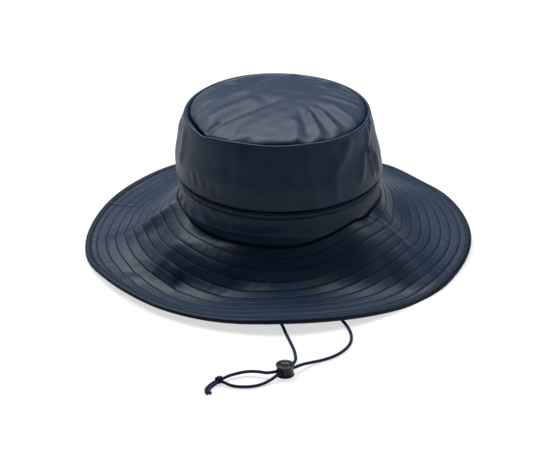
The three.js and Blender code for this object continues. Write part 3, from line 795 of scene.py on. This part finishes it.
tip = {
    "steps": 480,
    "columns": 80,
    "gather": 1.15,           # above 1, the columns lie closer at the rim
    "radius": 0.0806,
    "seamRadius": 0.0816,
    "thickness": 0.0012,
    "seamHeight": 0.1322,
    "rise": 0.015,
    "fullness": 0.62,
    # the rim: radius, height from the seam, and how much of the edge's pull-in it takes
    "rim": [(0.0813, 0.0004, 1), (0.0818, -0.0006, 0.9), (0.0819, -0.0018, 0.5), (0.0820, -0.0030, 0.1),
            (0.0829, -0.0036, 0)],
    # the rim round the hat: azimuth, how far it is pulled in, how far up
    "edge": [(20, 0, 0.0002), (60, 0, 0), (100, 0, 0), (140, 0, 0), (180, 0.0008, -0.0012),
             (200, 0.0030, -0.0016), (216, 0.0040, -0.0004), (228, 0.0034, 0.0004), (236, 0.0020, -0.0006),
             (241, 0.0014, -0.0016), (247, 0.0002, 0.0002), (258, 0, 0.0016), (270, 0.0004, 0.0018),
             (280, 0.0014, 0.0020), (290, 0.0022, 0.0024), (298, 0.0022, 0.0026), (307, 0.0010, 0.0020),
             (320, 0, 0.0016), (345, 0, 0.0008)],
    "edgeFrom": 0.06,
    # folds: azimuth and distance from the middle of both ends, widths, height, sharpness, bend
    "folds": [
        (112, 0.050, 202, 0.036, 0.0035, 0.006, 0.0012, 0.2, 0),
        (150, 0.020, 206, 0.082, 0.005, 0.009, 0.0018, 0.2, 0),
        (186, 0.040, 214, 0.080, 0.004, 0.005, -0.0012, 0.2, 0),
        (200, 0.012, 232, 0.080, 0.006, 0.009, 0.0024, 0.2, 0),
        (20, 0.008, 241, 0.076, 0.010, 0.005, -0.0026, 0.1, -0.003),
        (243, 0.060, 243, 0.090, 0.0035, 0.0035, -0.0022, 0.2, 0),
        (258, 0.052, 263, 0.083, 0.0025, 0.0025, -0.0013, 0.3, 0),
        (272, 0.046, 271, 0.083, 0.006, 0.005, 0.0010, 0, 0),
        (316, 0.040, 306, 0.085, 0.003, 0.004, 0.0014, 0.3, 0),
        (340, 0.028, 314, 0.084, 0.004, 0.004, -0.0018, 0.1, 0),
        (345, 0.034, 322, 0.085, 0.003, 0.004, 0.0018, 0.3, 0),
        (355, 0.032, 330, 0.083, 0.004, 0.004, -0.0018, 0.1, 0),
        (0, 0.036, 337, 0.085, 0.003, 0.004, 0.0018, 0.3, 0),
        (10, 0.034, 346, 0.083, 0.004, 0.004, -0.0016, 0.1, 0),
        (14, 0.046, 357, 0.084, 0.003, 0.003, 0.0016, 0.2, 0),
        (72, 0.046, 33, 0.084, 0.003, 0.003, 0.0013, 0.2, 0),
        (50, 0.048, 27, 0.084, 0.003, 0.003, 0.0011, 0.2, 0),
        (38, 0.038, 19, 0.083, 0.003, 0.003, 0.0012, 0.2, 0),
        (66, 0.050, 66, 0.090, 0.006, 0.006, 0.0013, 0, 0),
        (160, 0.066, 120, 0.063, 0.005, 0.006, 0.0013, 0, 0),
        (162, 0.078, 154, 0.050, 0.004, 0.004, 0.0010, 0, 0),
        (216, 0.083, 218, 0.062, 0.0025, 0.0025, 0.0010, 0.2, 0),
        (95, 0.060, 103, 0.084, 0.006, 0.005, 0.0010, 0, 0)],
    "foldFade": 0.003,        # the folds fade out this far inside the seam
    "ripple": 0.0002,
    "rippleSize": 0.02,
    "darkFrom": 0.0805,       # painted shade on the rim, down in the seam, from this radius on
    "darkFade": 0.001,
}


def tipLines(azimuth):
    shares = 1 - (1 - np.linspace(0, 1, tip["columns"])) ** tip["gather"]
    seamRadius = tip["seamRadius"]
    radius = tip["radius"] * shares
    height = tip["seamHeight"] + tip["rise"] * (1 - (radius / seamRadius) ** 2) ** tip["fullness"]
    rim = np.array(tip["rim"])
    turn = azimuth[:, None]
    radius = np.concatenate([radius, rim[:, 0]]) + 0 * turn
    height = np.concatenate([height, tip["seamHeight"] + rim[:, 1]]) + 0 * turn
    x, y = fanPlane(turn, radius)
    depth = foldDepths(tip["folds"], fanPlane, turn, radius)
    depth = depth + tip["ripple"] * ripples(x, y, tip["rippleSize"], 12, 5)
    height = height + depth * smooth((seamRadius - radius) / tip["foldFade"])
    inwards, up = aroundTable(tip["edge"], azimuth).T[..., None]
    near = smooth((radius - tip["edgeFrom"]) / (seamRadius - tip["edgeFrom"]))
    # painted shade: the rim darkens into the seam, where shade falls
    paintedShade = smooth((radius - tip["darkFrom"]) / tip["darkFade"])
    pull = inwards * near * np.concatenate([np.ones(tip["columns"]), rim[:, 2]])
    return radius - pull, height + up * near, np.stack([x, y], axis=-1), paintedShade


tipAzimuth = np.arange(tip["steps"]) * 360 / tip["steps"]
tipRadius, tipHeight, tipUv, tipDitch = tipLines(tipAzimuth)
crownTip = wallPiece("crown_tip_cloth", tipAzimuth, tipRadius, tipHeight, tip["thickness"], satinNavy,
                     shift=crown["lean"], paintedShade=tipDitch, uv=tipUv)
print("crown tip sewn")


# Brim: two panels joined at the side seams, stitched through in rows. Each row is the cloth's line from the
# crown out to the edge at one azimuth. Slopes are degrees below level.

brim = {
    "steps": 720,
    "columns": 42,            # and more of them at each stitched row
    "thickness": 0.0016,
    # azimuth, rootRadius, rootHeight, rootSlope, rootReach, edgeRadius, edgeHeight, edgeSlope, edgeReach
    "rows": [
        (1, 0.0912, 0.052, 44, 0.03, 0.172, 0.0032, 13, 0.034),
        (23, 0.0927, 0.051, 65, 0.036, 0.1757, 0.007, 9, 0.05),
        (48, 0.094, 0.05, 42, 0.03, 0.1749, 0.0115, 8, 0.042),
        (62, 0.094, 0.05, 42, 0.028, 0.1735, 0.0112, 7, 0.038),
        (78, 0.094, 0.05, 46, 0.028, 0.1747, 0.0128, 6, 0.034),
        (113, 0.094, 0.05, 50, 0.03, 0.174, 0.00245, 0, 0.042),
        (143, 0.094, 0.05, 42, 0.03, 0.175, 0.012, 2, 0.032),
        (168, 0.094, 0.05, 52, 0.032, 0.176, 0.009, -6, 0.042),
        (188, 0.094, 0.049, 55, 0.03, 0.1759, 0.006, 0, 0.04),
        (203, 0.0932, 0.0477, 37, 0.03, 0.1775, 0.0031, 2, 0.039),
        (211, 0.0929, 0.0469, 31, 0.03, 0.1779, 0.0021, 0, 0.04),
        (219, 0.0924, 0.0469, 42, 0.027, 0.1776, 0.0042, -1, 0.047),
        (230, 0.0926, 0.0476, 30, 0.04, 0.175, 0.0068, -16, 0.046),
        (243, 0.0932, 0.0436, 4, 0.046, 0.1736, 0.0076, -22, 0.056),
        (258, 0.0936, 0.0425, 14, 0.039, 0.1748, 0.0082, -18, 0.066),
        (275, 0.094, 0.0426, 50, 0.049, 0.175, 0.0092, -5, 0.066),
        (293, 0.094, 0.042, 65, 0.049, 0.1743, 0.0114, 5, 0.038),
        (306, 0.0938, 0.0434, 67, 0.049, 0.1723, 0.01, 8, 0.033),
        (320, 0.0936, 0.0482, 58, 0.049, 0.1704, 0.0068, 3, 0.044),
        (338, 0.0924, 0.0534, 24, 0.045, 0.1697, 0.0023, 0, 0.042),
        (350, 0.0911, 0.0502, 12, 0.031, 0.172, 0.0029, 9, 0.016)],
    # ridges and valleys: azimuth at the crown and at the edge, widths in degrees to each side, height,
    # shares where it starts and ends, sharpness
    "ridges": [
        (213.5, 208.5, 5, 13, 0.0065, -0.3, 0.95, 0.8),
        (200, 197, 7, 7, -0.0045, -0.2, 0.9, 0),
        (352, 358, 6, 9, 0.0034, 0.02, 0.95, 0.8),
        (62, 62, 12, 14, 0.0025, 0.1, 0.9, 0)],
    "innerAlong": 0.094,      # from the axis to the root, along the cloth
    "clothLength": 0.096,
    # shares of the cloth's length at which the stitched rows run
    "stitchRows": [0.105, 0.223, 0.333, 0.434, 0.531, 0.625, 0.72, 0.813, 0.903],
    "rowWobble": 0.0012,
    "grooveWidth": 0.00045,
    "grooveDepth": 0.0003,
    # how dark the painted shade in the stitched grooves is
    "grooveDark": 0.6,
    "quilting": 0.00009,
    "pucker": 0.00014,
    "puckerSize": 0.009,
    "calm": 0.75,             # how much of the puckers is gone where the cloth is pulled smooth
    "calmAzimuth": 325,
    "calmSpread": 28,
    "crumple": 0.0008,        # soft creases in the light patch at the left
    "crumpleAzimuth": 232,
    "crumpleSpread": 24,
    "crumpleSize": 0.028,
    # the side seams: a groove between two low ridges, with painted shade in it
    "seamDepth": 0.0005,
    "seamRidge": 0.0002,
    "seamRidgeAway": 0.004,
    "seamRidgeWidth": 0.0025,
    "seamDark": 0.8,
    "rootDark": 0.0009,       # how far out the painted shade of the seam at the root reaches
    "seamReach": 0.0014,      # how far the root goes on under the band, and down
    "seamDrop": 0.0003,
    # folds: azimuth and distance along the cloth of both ends, widths, height, sharpness, bend
    "folds": [
        (238, 0.098, 239, 0.150, 0.008, 0.010, 0.0008, 0, 0),
        (252, 0.118, 250, 0.160, 0.008, 0.008, -0.0007, 0, 0),
        (228, 0.130, 231, 0.176, 0.006, 0.007, -0.0007, 0, 0),
        (262, 0.100, 266, 0.135, 0.010, 0.010, -0.0006, 0, 0),
        (372, 0.094, 362, 0.120, 0.002, 0.002, 0.0006, 0.4, 0),
        (368, 0.096, 360.5, 0.112, 0.0015, 0.0015, 0.0005, 0.4, 0),
        (376, 0.096, 368, 0.124, 0.003, 0.003, 0.0005, 0.2, 0)],
    # the side seams' azimuths at the crown and at the edge
    "seams": [(353, 358.4), (180, 180)],
    "seamBend": 1.6,
}


def brimSeam(seam, shares):
    # a side seam's azimuth along the brim, which curves most near the crown
    return seam[1] + (seam[0] - seam[1]) * (1 - shares) ** brim["seamBend"]


def brimRidges(azimuth, shares):
    total = 0 * shares * azimuth
    for rootTurn, edgeTurn, lowWidth, highWidth, height, start, end, sharp in brim["ridges"]:
        turn = turnBetween(azimuth, rootTurn + (edgeTurn - rootTurn) * shares)
        away = np.abs(turn) / np.where(turn < 0, lowWidth, highWidth)
        along = np.clip((shares - start) / (end - start), 0, 1)
        total = total + height * np.sin(math.pi * along) * crest(away, sharp)
    return total


def rowShare(azimuth, k):
    # a stitched row's share at each azimuth: its place, and the small wander of a row that is guided by hand
    wander = ripples(*fanPlane(azimuth, 2), 1.2, 5, 20 + k)
    return brim["stitchRows"][k] + brim["rowWobble"] * wander


def brimDepth(azimuth, shares):
    # How far the top face stands out from its plain line, and how much painted shade it has, from 0 to 1: in
    # the stitched grooves, the side seams and the root seam
    along = brim["innerAlong"] + shares * brim["clothLength"]
    x, y = fanPlane(azimuth, along)
    depth = foldDepths(brim["folds"], fanPlane, azimuth, along)
    edges = [0 * azimuth] + [rowShare(azimuth, k) for k in range(len(brim["stitchRows"]))] + [1 + 0 * azimuth]
    calm = brim["calm"] * bell(turnBetween(azimuth, brim["calmAzimuth"]), brim["calmSpread"])
    for k, (low, high) in enumerate(zip(edges[:-1], edges[1:])):
        puff = np.sin(math.pi * np.clip((shares - low) / (high - low), 0, 1))
        pucker = brim["pucker"] * (1 - calm) * ripples(x, y, brim["puckerSize"], 10, 40 + k)
        depth = depth + puff * (brim["quilting"] + pucker)
    patch = bell(turnBetween(azimuth, brim["crumpleAzimuth"]), brim["crumpleSpread"])
    patch = patch * np.sin(math.pi * shares)
    depth = depth + brim["crumple"] * patch * ripples(x, y, brim["crumpleSize"], 9, 77)
    rows = sum(bell((shares - row) * brim["clothLength"], brim["grooveWidth"]) for row in edges[1:-1])
    # painted shade in the stitched grooves, then in the side seams and at the root, where shade falls
    depth, paintedShade = depth - brim["grooveDepth"] * rows, brim["grooveDark"] * rows
    for seam in brim["seams"]:
        away = np.radians(turnBetween(azimuth, brimSeam(seam, np.clip(shares, 0, 1)))) * along
        groove = bell(away, walls["seamWidth"])
        ridge = bell(np.abs(away) - brim["seamRidgeAway"], brim["seamRidgeWidth"])
        depth = depth - brim["seamDepth"] * groove + brim["seamRidge"] * ridge
        paintedShade = np.maximum(paintedShade, brim["seamDark"] * groove)
    return depth, np.maximum(paintedShade, bell(shares * brim["clothLength"], brim["rootDark"]))


def brimLines(azimuth, shares):
    # Cubic Bezier from root to edge, at even shares of its length, with the ridges and the fine depth added:
    # P = (1-t)^3 root + 3t(1-t)^2 rootHandle + 3t^2(1-t) edgeHandle + t^3 edge
    rootR, rootZ, rootSlope, rootReach, edgeR, edgeZ, edgeSlope, edgeReach = (
        column[:, None] for column in aroundTable(brim["rows"], azimuth).T)
    rootTurn, edgeTurn = np.radians(rootSlope), np.radians(edgeSlope)
    handles = ((rootR, rootZ), (rootR + rootReach * np.cos(rootTurn), rootZ - rootReach * np.sin(rootTurn)),
               (edgeR - edgeReach * np.cos(edgeTurn), edgeZ + edgeReach * np.sin(edgeTurn)), (edgeR, edgeZ))

    def bezier(t, axis):
        a, b, c, d = (handle[axis] for handle in handles)
        return (1 - t) ** 3 * a + 3 * t * (1 - t) ** 2 * b + 3 * t ** 2 * (1 - t) * c + t ** 3 * d

    count, nearby = 64, 0.001
    steps = np.linspace(0, 1, count + 1)[None]
    spans = np.hypot(np.diff(bezier(steps, 0), axis=1), np.diff(bezier(steps, 1), axis=1))
    knots = np.concatenate([0 * rootR, np.cumsum(spans, axis=1)], axis=1)
    knots /= knots[:, -1:]
    shares = np.clip(shares, 0, 1) + 0 * rootR
    first = np.clip((knots[:, None, :] <= shares[:, :, None]).sum(-1) - 1, 0, count - 1)
    low, high = (np.take_along_axis(knots, first + k, 1) for k in (0, 1))
    t = (first + (shares - low) / (high - low)) / count
    radius, height = bezier(t, 0), bezier(t, 1)
    runR, runZ = (bezier(t + nearby, axis) - bezier(t - nearby, axis) for axis in (0, 1))
    size = np.hypot(runR, runZ)
    depth, paintedShade = brimDepth(azimuth[:, None], shares)
    radius = radius - runZ / size * depth
    height = height + brimRidges(azimuth[:, None], shares) + runR / size * depth
    return radius, height, paintedShade


def brimSurface(azimuth, share):
    radius, height, _ = brimLines(azimuth, share[:, None])
    return placed(azimuth, radius, height)[:, 0]


brimAzimuth = np.arange(brim["steps"]) * 360 / brim["steps"]
brimShares = gatheredShares(brim["stitchRows"], brim["grooveWidth"] / brim["clothLength"], brim["columns"])
brimRadius, brimHeight, brimDitch = brimLines(brimAzimuth, brimShares[None])
brimAlong = brim["innerAlong"] + brimShares * brim["clothLength"]
brimUv = np.stack(fanPlane(brimAzimuth[:, None], brimAlong[None]), axis=-1)


def turnedUnder(columns, change):
    # with a first column that is the root's, changed: the cloth that goes on under the band
    return np.concatenate([columns[:, :1] + change, columns], axis=1)


brimCloth = wallPiece("brim_cloth", brimAzimuth, turnedUnder(brimRadius, -brim["seamReach"]),
                      turnedUnder(brimHeight, -brim["seamDrop"]), brim["thickness"], satinNavy,
                      paintedShade=turnedUnder(brimDitch, 0), uv=turnedUnder(brimUv, 0))
print("brim quilted:", len(brimShares), "lines across")

rowStitch = {"pitch": 0.0035, "length": 0.0026, "radius": 0.00024, "lift": 0.00014, "sink": 0.0004,
             "rings": 5, "sides": 6}
brimTurn = np.linspace(0, 360, 4 * 360 + 1)
brimStitches = stitchPiece("brim_stitches", [rowPath(brimSurface, brimTurn, rowShare(brimTurn, k))
                                             for k in range(len(brim["stitchRows"]))], rowStitch, threadNavy)
print("brim stitched")


# Band: from the band seam down to the brim, sewn down with a row below the seam and one above the brim

band = {
    "columns": 44,
    "moreAt": [0.03, 0.13, 0.24, 0.88, 0.92, 0.96],     # shares of its line with more columns
    "moreSpread": 0.015,
    "thickness": 0.0014,
    "topRadius": 0.0929,
    "topHeight": 0.0764,
    "seamHeight": 0.0755,
    "overlap": 0.0010,        # below the brim's root, inside it
    "waist": 0.0016,
    "topTuck": 0.0017,
    "rootTuck": 0.0005,
    "tuckReach": 0.0008,
    "topStitch": 0.0024,      # below the band seam
    "rootStitch": 0.0017,     # above the brim
    "stitchDepth": 0.0003,
    "stitchWidth": 0.0005,
    "topGroove": 0.0066,      # below the band seam
    "topGrooveDepth": 0.0005,
    # painted shade in the groove below the band seam: how dark, and how wide
    "topGrooveWidth": 0.0007,
    "topGrooveDark": 0.6,
    "topGrooveDarkWidth": 0.0006,
    "topDark": 0.0012,        # how far from the seam at the top, and at the root, the painted shade reaches
    "rootDark": 0.0007,
    "seamDepth": 0.0004,
    "foldFade": 0.002,        # the folds fade out this far above the brim
    # folds: azimuth and height of both ends, widths to the right and left, height, sharpness, bend
    "folds": [
        (216, 0.0480, 221, 0.062, 0.0014, 0.004, 0.0013, 0.6, -0.001),
        (226, 0.060, 234, 0.0495, 0.002, 0.002, -0.0014, 0.3, 0),
        (234, 0.060, 240, 0.0495, 0.0022, 0.0022, 0.0008, 0.3, 0),
        (204, 0.0560, 326, 0.0560, 0.0080, 0.009, 0.0034, 0.2, 0.0022),
        (240, 0.0520, 292, 0.0535, 0.0012, 0.003, 0.0008, 0.5, -0.001),
        (298, 0.0480, 376, 0.0610, 0.0040, 0.008, 0.0018, 0.4, 0.001),
        (300, 0.0445, 352, 0.0540, 0.0016, 0.0014, 0.0012, 0.3, 0.001),
        (256, 0.066, 300, 0.0665, 0.003, 0.003, 0.0006, 0, 0)],
    "ripple": 0.00012,
    "rippleSize": 0.012,
}


def bandRoot(azimuth):
    # the radius and the height of the brim's root, where the band ends
    table = aroundTable(brim["rows"], azimuth)
    return table[:, :1], table[:, 1:2] + brimRidges(azimuth[:, None], 0 * table[:, :1])


def bandLines(azimuth, shares):
    # radius = top + (root - top) * share - waist * sin(pi * share), both ends tucked in
    rootRadius, rootHeight = bandRoot(azimuth)
    turn = azimuth[:, None]
    length = band["topHeight"] - rootHeight + band["overlap"]
    radius = (band["topRadius"] + (rootRadius - band["topRadius"]) * shares
              - band["waist"] * np.sin(math.pi * shares))
    height = band["topHeight"] - length * shares
    below, above = band["seamHeight"] - height, height - rootHeight
    depth = foldDepths(band["folds"], wallPlane, turn, height) * smooth(above / band["foldFade"])
    x, y = fanPlane(turn, walls["rippleRadius"])
    depth = depth + band["ripple"] * ripples(x, y + below, band["rippleSize"], 10, 9)
    stitched = np.stack([bell(below - band["topStitch"], band["stitchWidth"]),
                         bell(above - band["rootStitch"], band["stitchWidth"])])
    groove = below - band["topGroove"]
    depth = depth - band["stitchDepth"] * stitched.sum(0)
    depth = depth - band["topGrooveDepth"] * bell(groove, band["topGrooveWidth"])
    depth = depth - band["topTuck"] * smooth(0.5 - below / band["tuckReach"])
    depth = depth - band["rootTuck"] * smooth(1 - above / band["tuckReach"])
    depth = depth - sideSeamGroove(turn, band["seamDepth"])
    # painted shade: dark in both stitched grooves, in the groove below the seam and at both seams, where
    # shade falls
    dark = np.maximum(smooth(1.3 - below / band["topDark"]), smooth(1.3 - above / band["rootDark"]))
    dark = np.maximum(dark, band["topGrooveDark"] * bell(groove, band["topGrooveDarkWidth"]))
    return radius + depth, height, np.maximum(stitched.max(0), dark)


def bandSurface(azimuth, share):
    radius, height, _ = bandLines(azimuth, share[:, None])
    return placed(azimuth, radius, height)[:, 0]


def bandShare(azimuth, height, fromRoot):
    # where along the band's line a height is, below the band seam or above the brim's root
    rootHeight = bandRoot(azimuth)[1][:, 0]
    length = band["topHeight"] - rootHeight + band["overlap"]
    at = rootHeight + height if fromRoot else band["seamHeight"] - height
    return (band["topHeight"] - at) / length


bandShares = gatheredShares(band["moreAt"], band["moreSpread"], band["columns"])
bandRadius, bandHeight, bandDitch = bandLines(brimAzimuth, bandShares[None])
bandUv = np.stack([np.radians(brimAzimuth)[:, None] * walls["radius"] + 0 * bandHeight, bandHeight], axis=-1)
bandCloth = wallPiece("band_cloth", brimAzimuth, bandRadius, bandHeight, band["thickness"], satinNavy,
                      paintedShade=bandDitch, uv=bandUv)
bandTurn = np.linspace(0, 360, 3 * 360 + 1)
bandStitches = stitchPiece("band_stitches", [
    rowPath(bandSurface, bandTurn, bandShare(bandTurn, band["topStitch"], False)),
    rowPath(bandSurface, bandTurn, bandShare(bandTurn, band["rootStitch"], True))],
    {**rowStitch, "pitch": 0.0028, "length": 0.0023, "radius": 0.00022}, threadNavy)
print("band sewn")


# Binding: a strip of the cloth folded over the brim's edge. Its section is a rounded U, along the brim and
# across it from the middle of the brim's end, pressed flat where it meets the surface.

binding = {
    "outside": [(-0.0046, 0.0011), (-0.0038, 0.0016), (-0.0026, 0.0020), (-0.0014, 0.0020), (-0.0003, 0.0016),
                (0.0007, 0.0010), (0.0013, 0.0002), (0.0014, -0.0010), (0.0011, -0.0021), (0, -0.0025),
                (-0.0014, -0.0024), (-0.0030, -0.0019), (-0.0046, -0.0012)],
    "inside": [(-0.0046, -0.00095), (0.0003, -0.00095), (0.0003, 0.00095), (-0.0046, 0.00095)],
    "columns": 30,
    "leadShare": 0.97,        # the brim's direction at its edge is taken from this share of its line
    "flatRadius": 0.175,      # of the circle on which it is rolled out
}


def bindingGrid(azimuth):
    radius, height, _ = brimLines(azimuth, np.array([[binding["leadShare"], 1.0]]))
    alongR, alongZ = radius[:, 1:] - radius[:, :1], height[:, 1:] - height[:, :1]
    size = np.hypot(alongR, alongZ)
    alongR, alongZ = alongR / size, alongZ / size
    half = brim["thickness"] / 2
    middleR, middleZ = radius[:, 1:] + alongZ * half, height[:, 1:] - alongR * half
    section = np.concatenate([smoothLine(binding["outside"], np.linspace(0, 1, binding["columns"])),
                              np.array(binding["inside"])])
    along, across = section[:, 0], section[:, 1]
    grid = placed(azimuth, middleR + along * alongR - across * alongZ,
                  np.maximum(middleZ + along * alongZ + across * alongR, 0))
    around = np.radians(azimuth)[:, None] * binding["flatRadius"]
    uv = np.stack([around + 0 * along, np.cumsum(np.append(0, np.hypot(*np.diff(section, axis=0).T)))
                   + 0 * around], axis=-1)
    return grid, uv


bindingPoints, bindingUv = bindingGrid(brimAzimuth)
bindingCloth = addPiece("edge_binding_cloth", bindingPoints.reshape(-1, 3),
                        [ringFaces(*bindingPoints.shape[:2], True)], bindingNavy, bindingUv.reshape(-1, 2))
print("edge bound")


# Tabs: a folded loop of tape inside the crown at each side seam, which holds the end of the cord

tab = {"thickness": 0.0036, "width": 0.012, "top": 0.066, "bottom": 0.038, "leftFace": 0.089,
       "rightFace": 0.0881, "corner": 0.4, "thinShare": 0.72, "swellFrom": 0.7, "swellFade": 0.2,
       "sides": 40, "rings": 25, "endShare": 1 / 14}


def tabPiece(name, side, face, settings, material):
    # A superellipse in plan, its thickness swelling to the bottom, where the loop turns round the cord
    turn = np.linspace(0, 2 * math.pi, settings["sides"], endpoint=False)[:, None]
    share = np.linspace(0, 1, settings["rings"])[None]
    closing = np.sqrt(np.clip(np.minimum(share, 1 - share) / settings["endShare"], 0, 1))
    swell = settings["thinShare"]
    swell = (swell + (1 - swell) * smooth((share - settings["swellFrom"]) / settings["swellFade"])) * closing
    cosine, sine = (np.sign(v) * np.abs(v) ** settings["corner"] for v in (np.cos(turn), np.sin(turn)))
    x = cosine * settings["thickness"] / 2 * swell
    y = sine * settings["width"] / 2 * closing ** 0.3
    z = settings["top"] - (settings["top"] - settings["bottom"]) * share + 0 * turn
    outerFace = side * (face - settings["thickness"] / 2)
    points, faces = closedGrid(np.stack([x + outerFace, y, z], axis=-1) + hatAxis)
    return addPiece(name, points, faces, material)


tabLeft = tabPiece("cord_tab_left_tape", -1, tab["leftFace"], tab, bindingNavy)
tabRight = tabPiece("cord_tab_right_tape", 1, tab["rightFace"], tab, bindingNavy)
print("tabs sewn in")


# What each piece stands for and rides on

for piece, nodes, slot in (
        (crownTip, ["crown_tip"], "coated_cloth"), (crownSide, ["crown_side"], "coated_cloth"),
        (bandCloth, ["hat_band"], "coated_cloth"), (brimCloth, ["brim"], "coated_cloth"),
        (bindingCloth, ["brim_binding"], "edge_binding"), (brimStitches, [], "coated_cloth"),
        (bandStitches, [], "coated_cloth"), (tabLeft, ["cord_tab_left"], "coated_cloth"),
        (tabRight, ["cord_tab_right"], "coated_cloth"), (cordLeft, ["cord_left"], "chin_cord"),
        (cordRight, ["cord_right"], "chin_cord"), (cordKnot, ["cord_knot"], "chin_cord"),
        (lockBody, ["lock_body"], "lock_plastic")):
    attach(piece, "hat")
    if nodes:
        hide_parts(*nodes)
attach(lockButton, "button")
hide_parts("lock_button")

print("pieces ride on their bodies")


# Studio: a grey floor whose glow makes it white, three soft boxes side by side over the crown, three weaker
# ones further back, and fill from above the left, from the right and from the front right.
# Places are from the hat: towards the back of the camera's view, towards its right, and up.

studio = {
    "floorHex": "#909090",
    "floorGlow": 0.65,
    "floorReach": 6,
    "floorDrop": 0.00005,
    "worldHex": "#e6ecf5",
    "worldStrength": 0.01,
    "viewTurn": 23,
    # back, right, up, width, depth, watts
    "lights": {
        "over_the_crown": (0.8, 0, 1.75, 1.2, 0.9, 27),
        "over_left": (0.6, -0.8, 1.65, 0.9, 0.9, 21),
        "over_right": (0.6, 0.8, 1.65, 0.9, 0.9, 11.5),
        "behind_high": (1.5, 0, 1.3, 2.4, 0.9, 7),
        "behind_low": (1.8, 0, 0.5, 2.4, 0.7, 1.2),
        "behind_left": (1.15, -1.15, 0.95, 1.3, 1.0, 7.5),
        "above_left": (0, -1, 1.6, 1.3, 1.0, 4.5),
        "right": (0, 1.6, 0.9, 1.3, 1.0, 5.5),
        "front_right": (-0.9, 1.3, 0.9, 1.0, 0.8, 2),
    },
}


def addFloor(settings):
    corners = np.array([(-1, -1, 0), (1, -1, 0), (1, 1, 0), (-1, 1, 0)]) * settings["floorReach"]
    corners = corners - [0, 0, settings["floorDrop"]]
    paper, tree = newMaterial("studio_paper")
    finishMaterial(tree, {"Base Color": linear(settings["floorHex"]), "Roughness": 0.9,
                          "Specular IOR Level": 0.1, "Emission Color": (1, 1, 1, 1),
                          "Emission Strength": settings["floorGlow"]})
    floor = addPiece("studio_floor", corners, [np.array([[0, 1, 2, 3]])], paper)


def addLights(settings):
    world = bpy.data.worlds.new("studio_world")
    bpy.context.scene.world = world
    world.use_nodes = True
    background = world.node_tree.nodes["Background"]
    background.inputs["Color"].default_value = linear(settings["worldHex"])
    background.inputs["Strength"].default_value = settings["worldStrength"]
    turn = math.radians(settings["viewTurn"])
    back, right = Vector((-math.sin(turn), math.cos(turn), 0)), Vector((math.cos(turn), math.sin(turn), 0))
    for name, (behind, beside, up, width, depth, watts) in settings["lights"].items():
        data = bpy.data.lights.new(name, "AREA")
        data.shape = "RECTANGLE"
        data.size, data.size_y, data.energy = width, depth, watts
        light = bpy.data.objects.new(name, data)
        light.location = back * behind + right * beside + Vector((0, 0, up))
        light.rotation_mode = "QUATERNION"
        light.rotation_quaternion = (Vector((0, 0, 0.05)) - light.location).to_track_quat("-Z", "Y")
        bpy.context.scene.collection.objects.link(light)


addFloor(studio)
addLights(studio)
bpy.context.scene.view_settings.view_transform = "Standard"
print("studio lit")
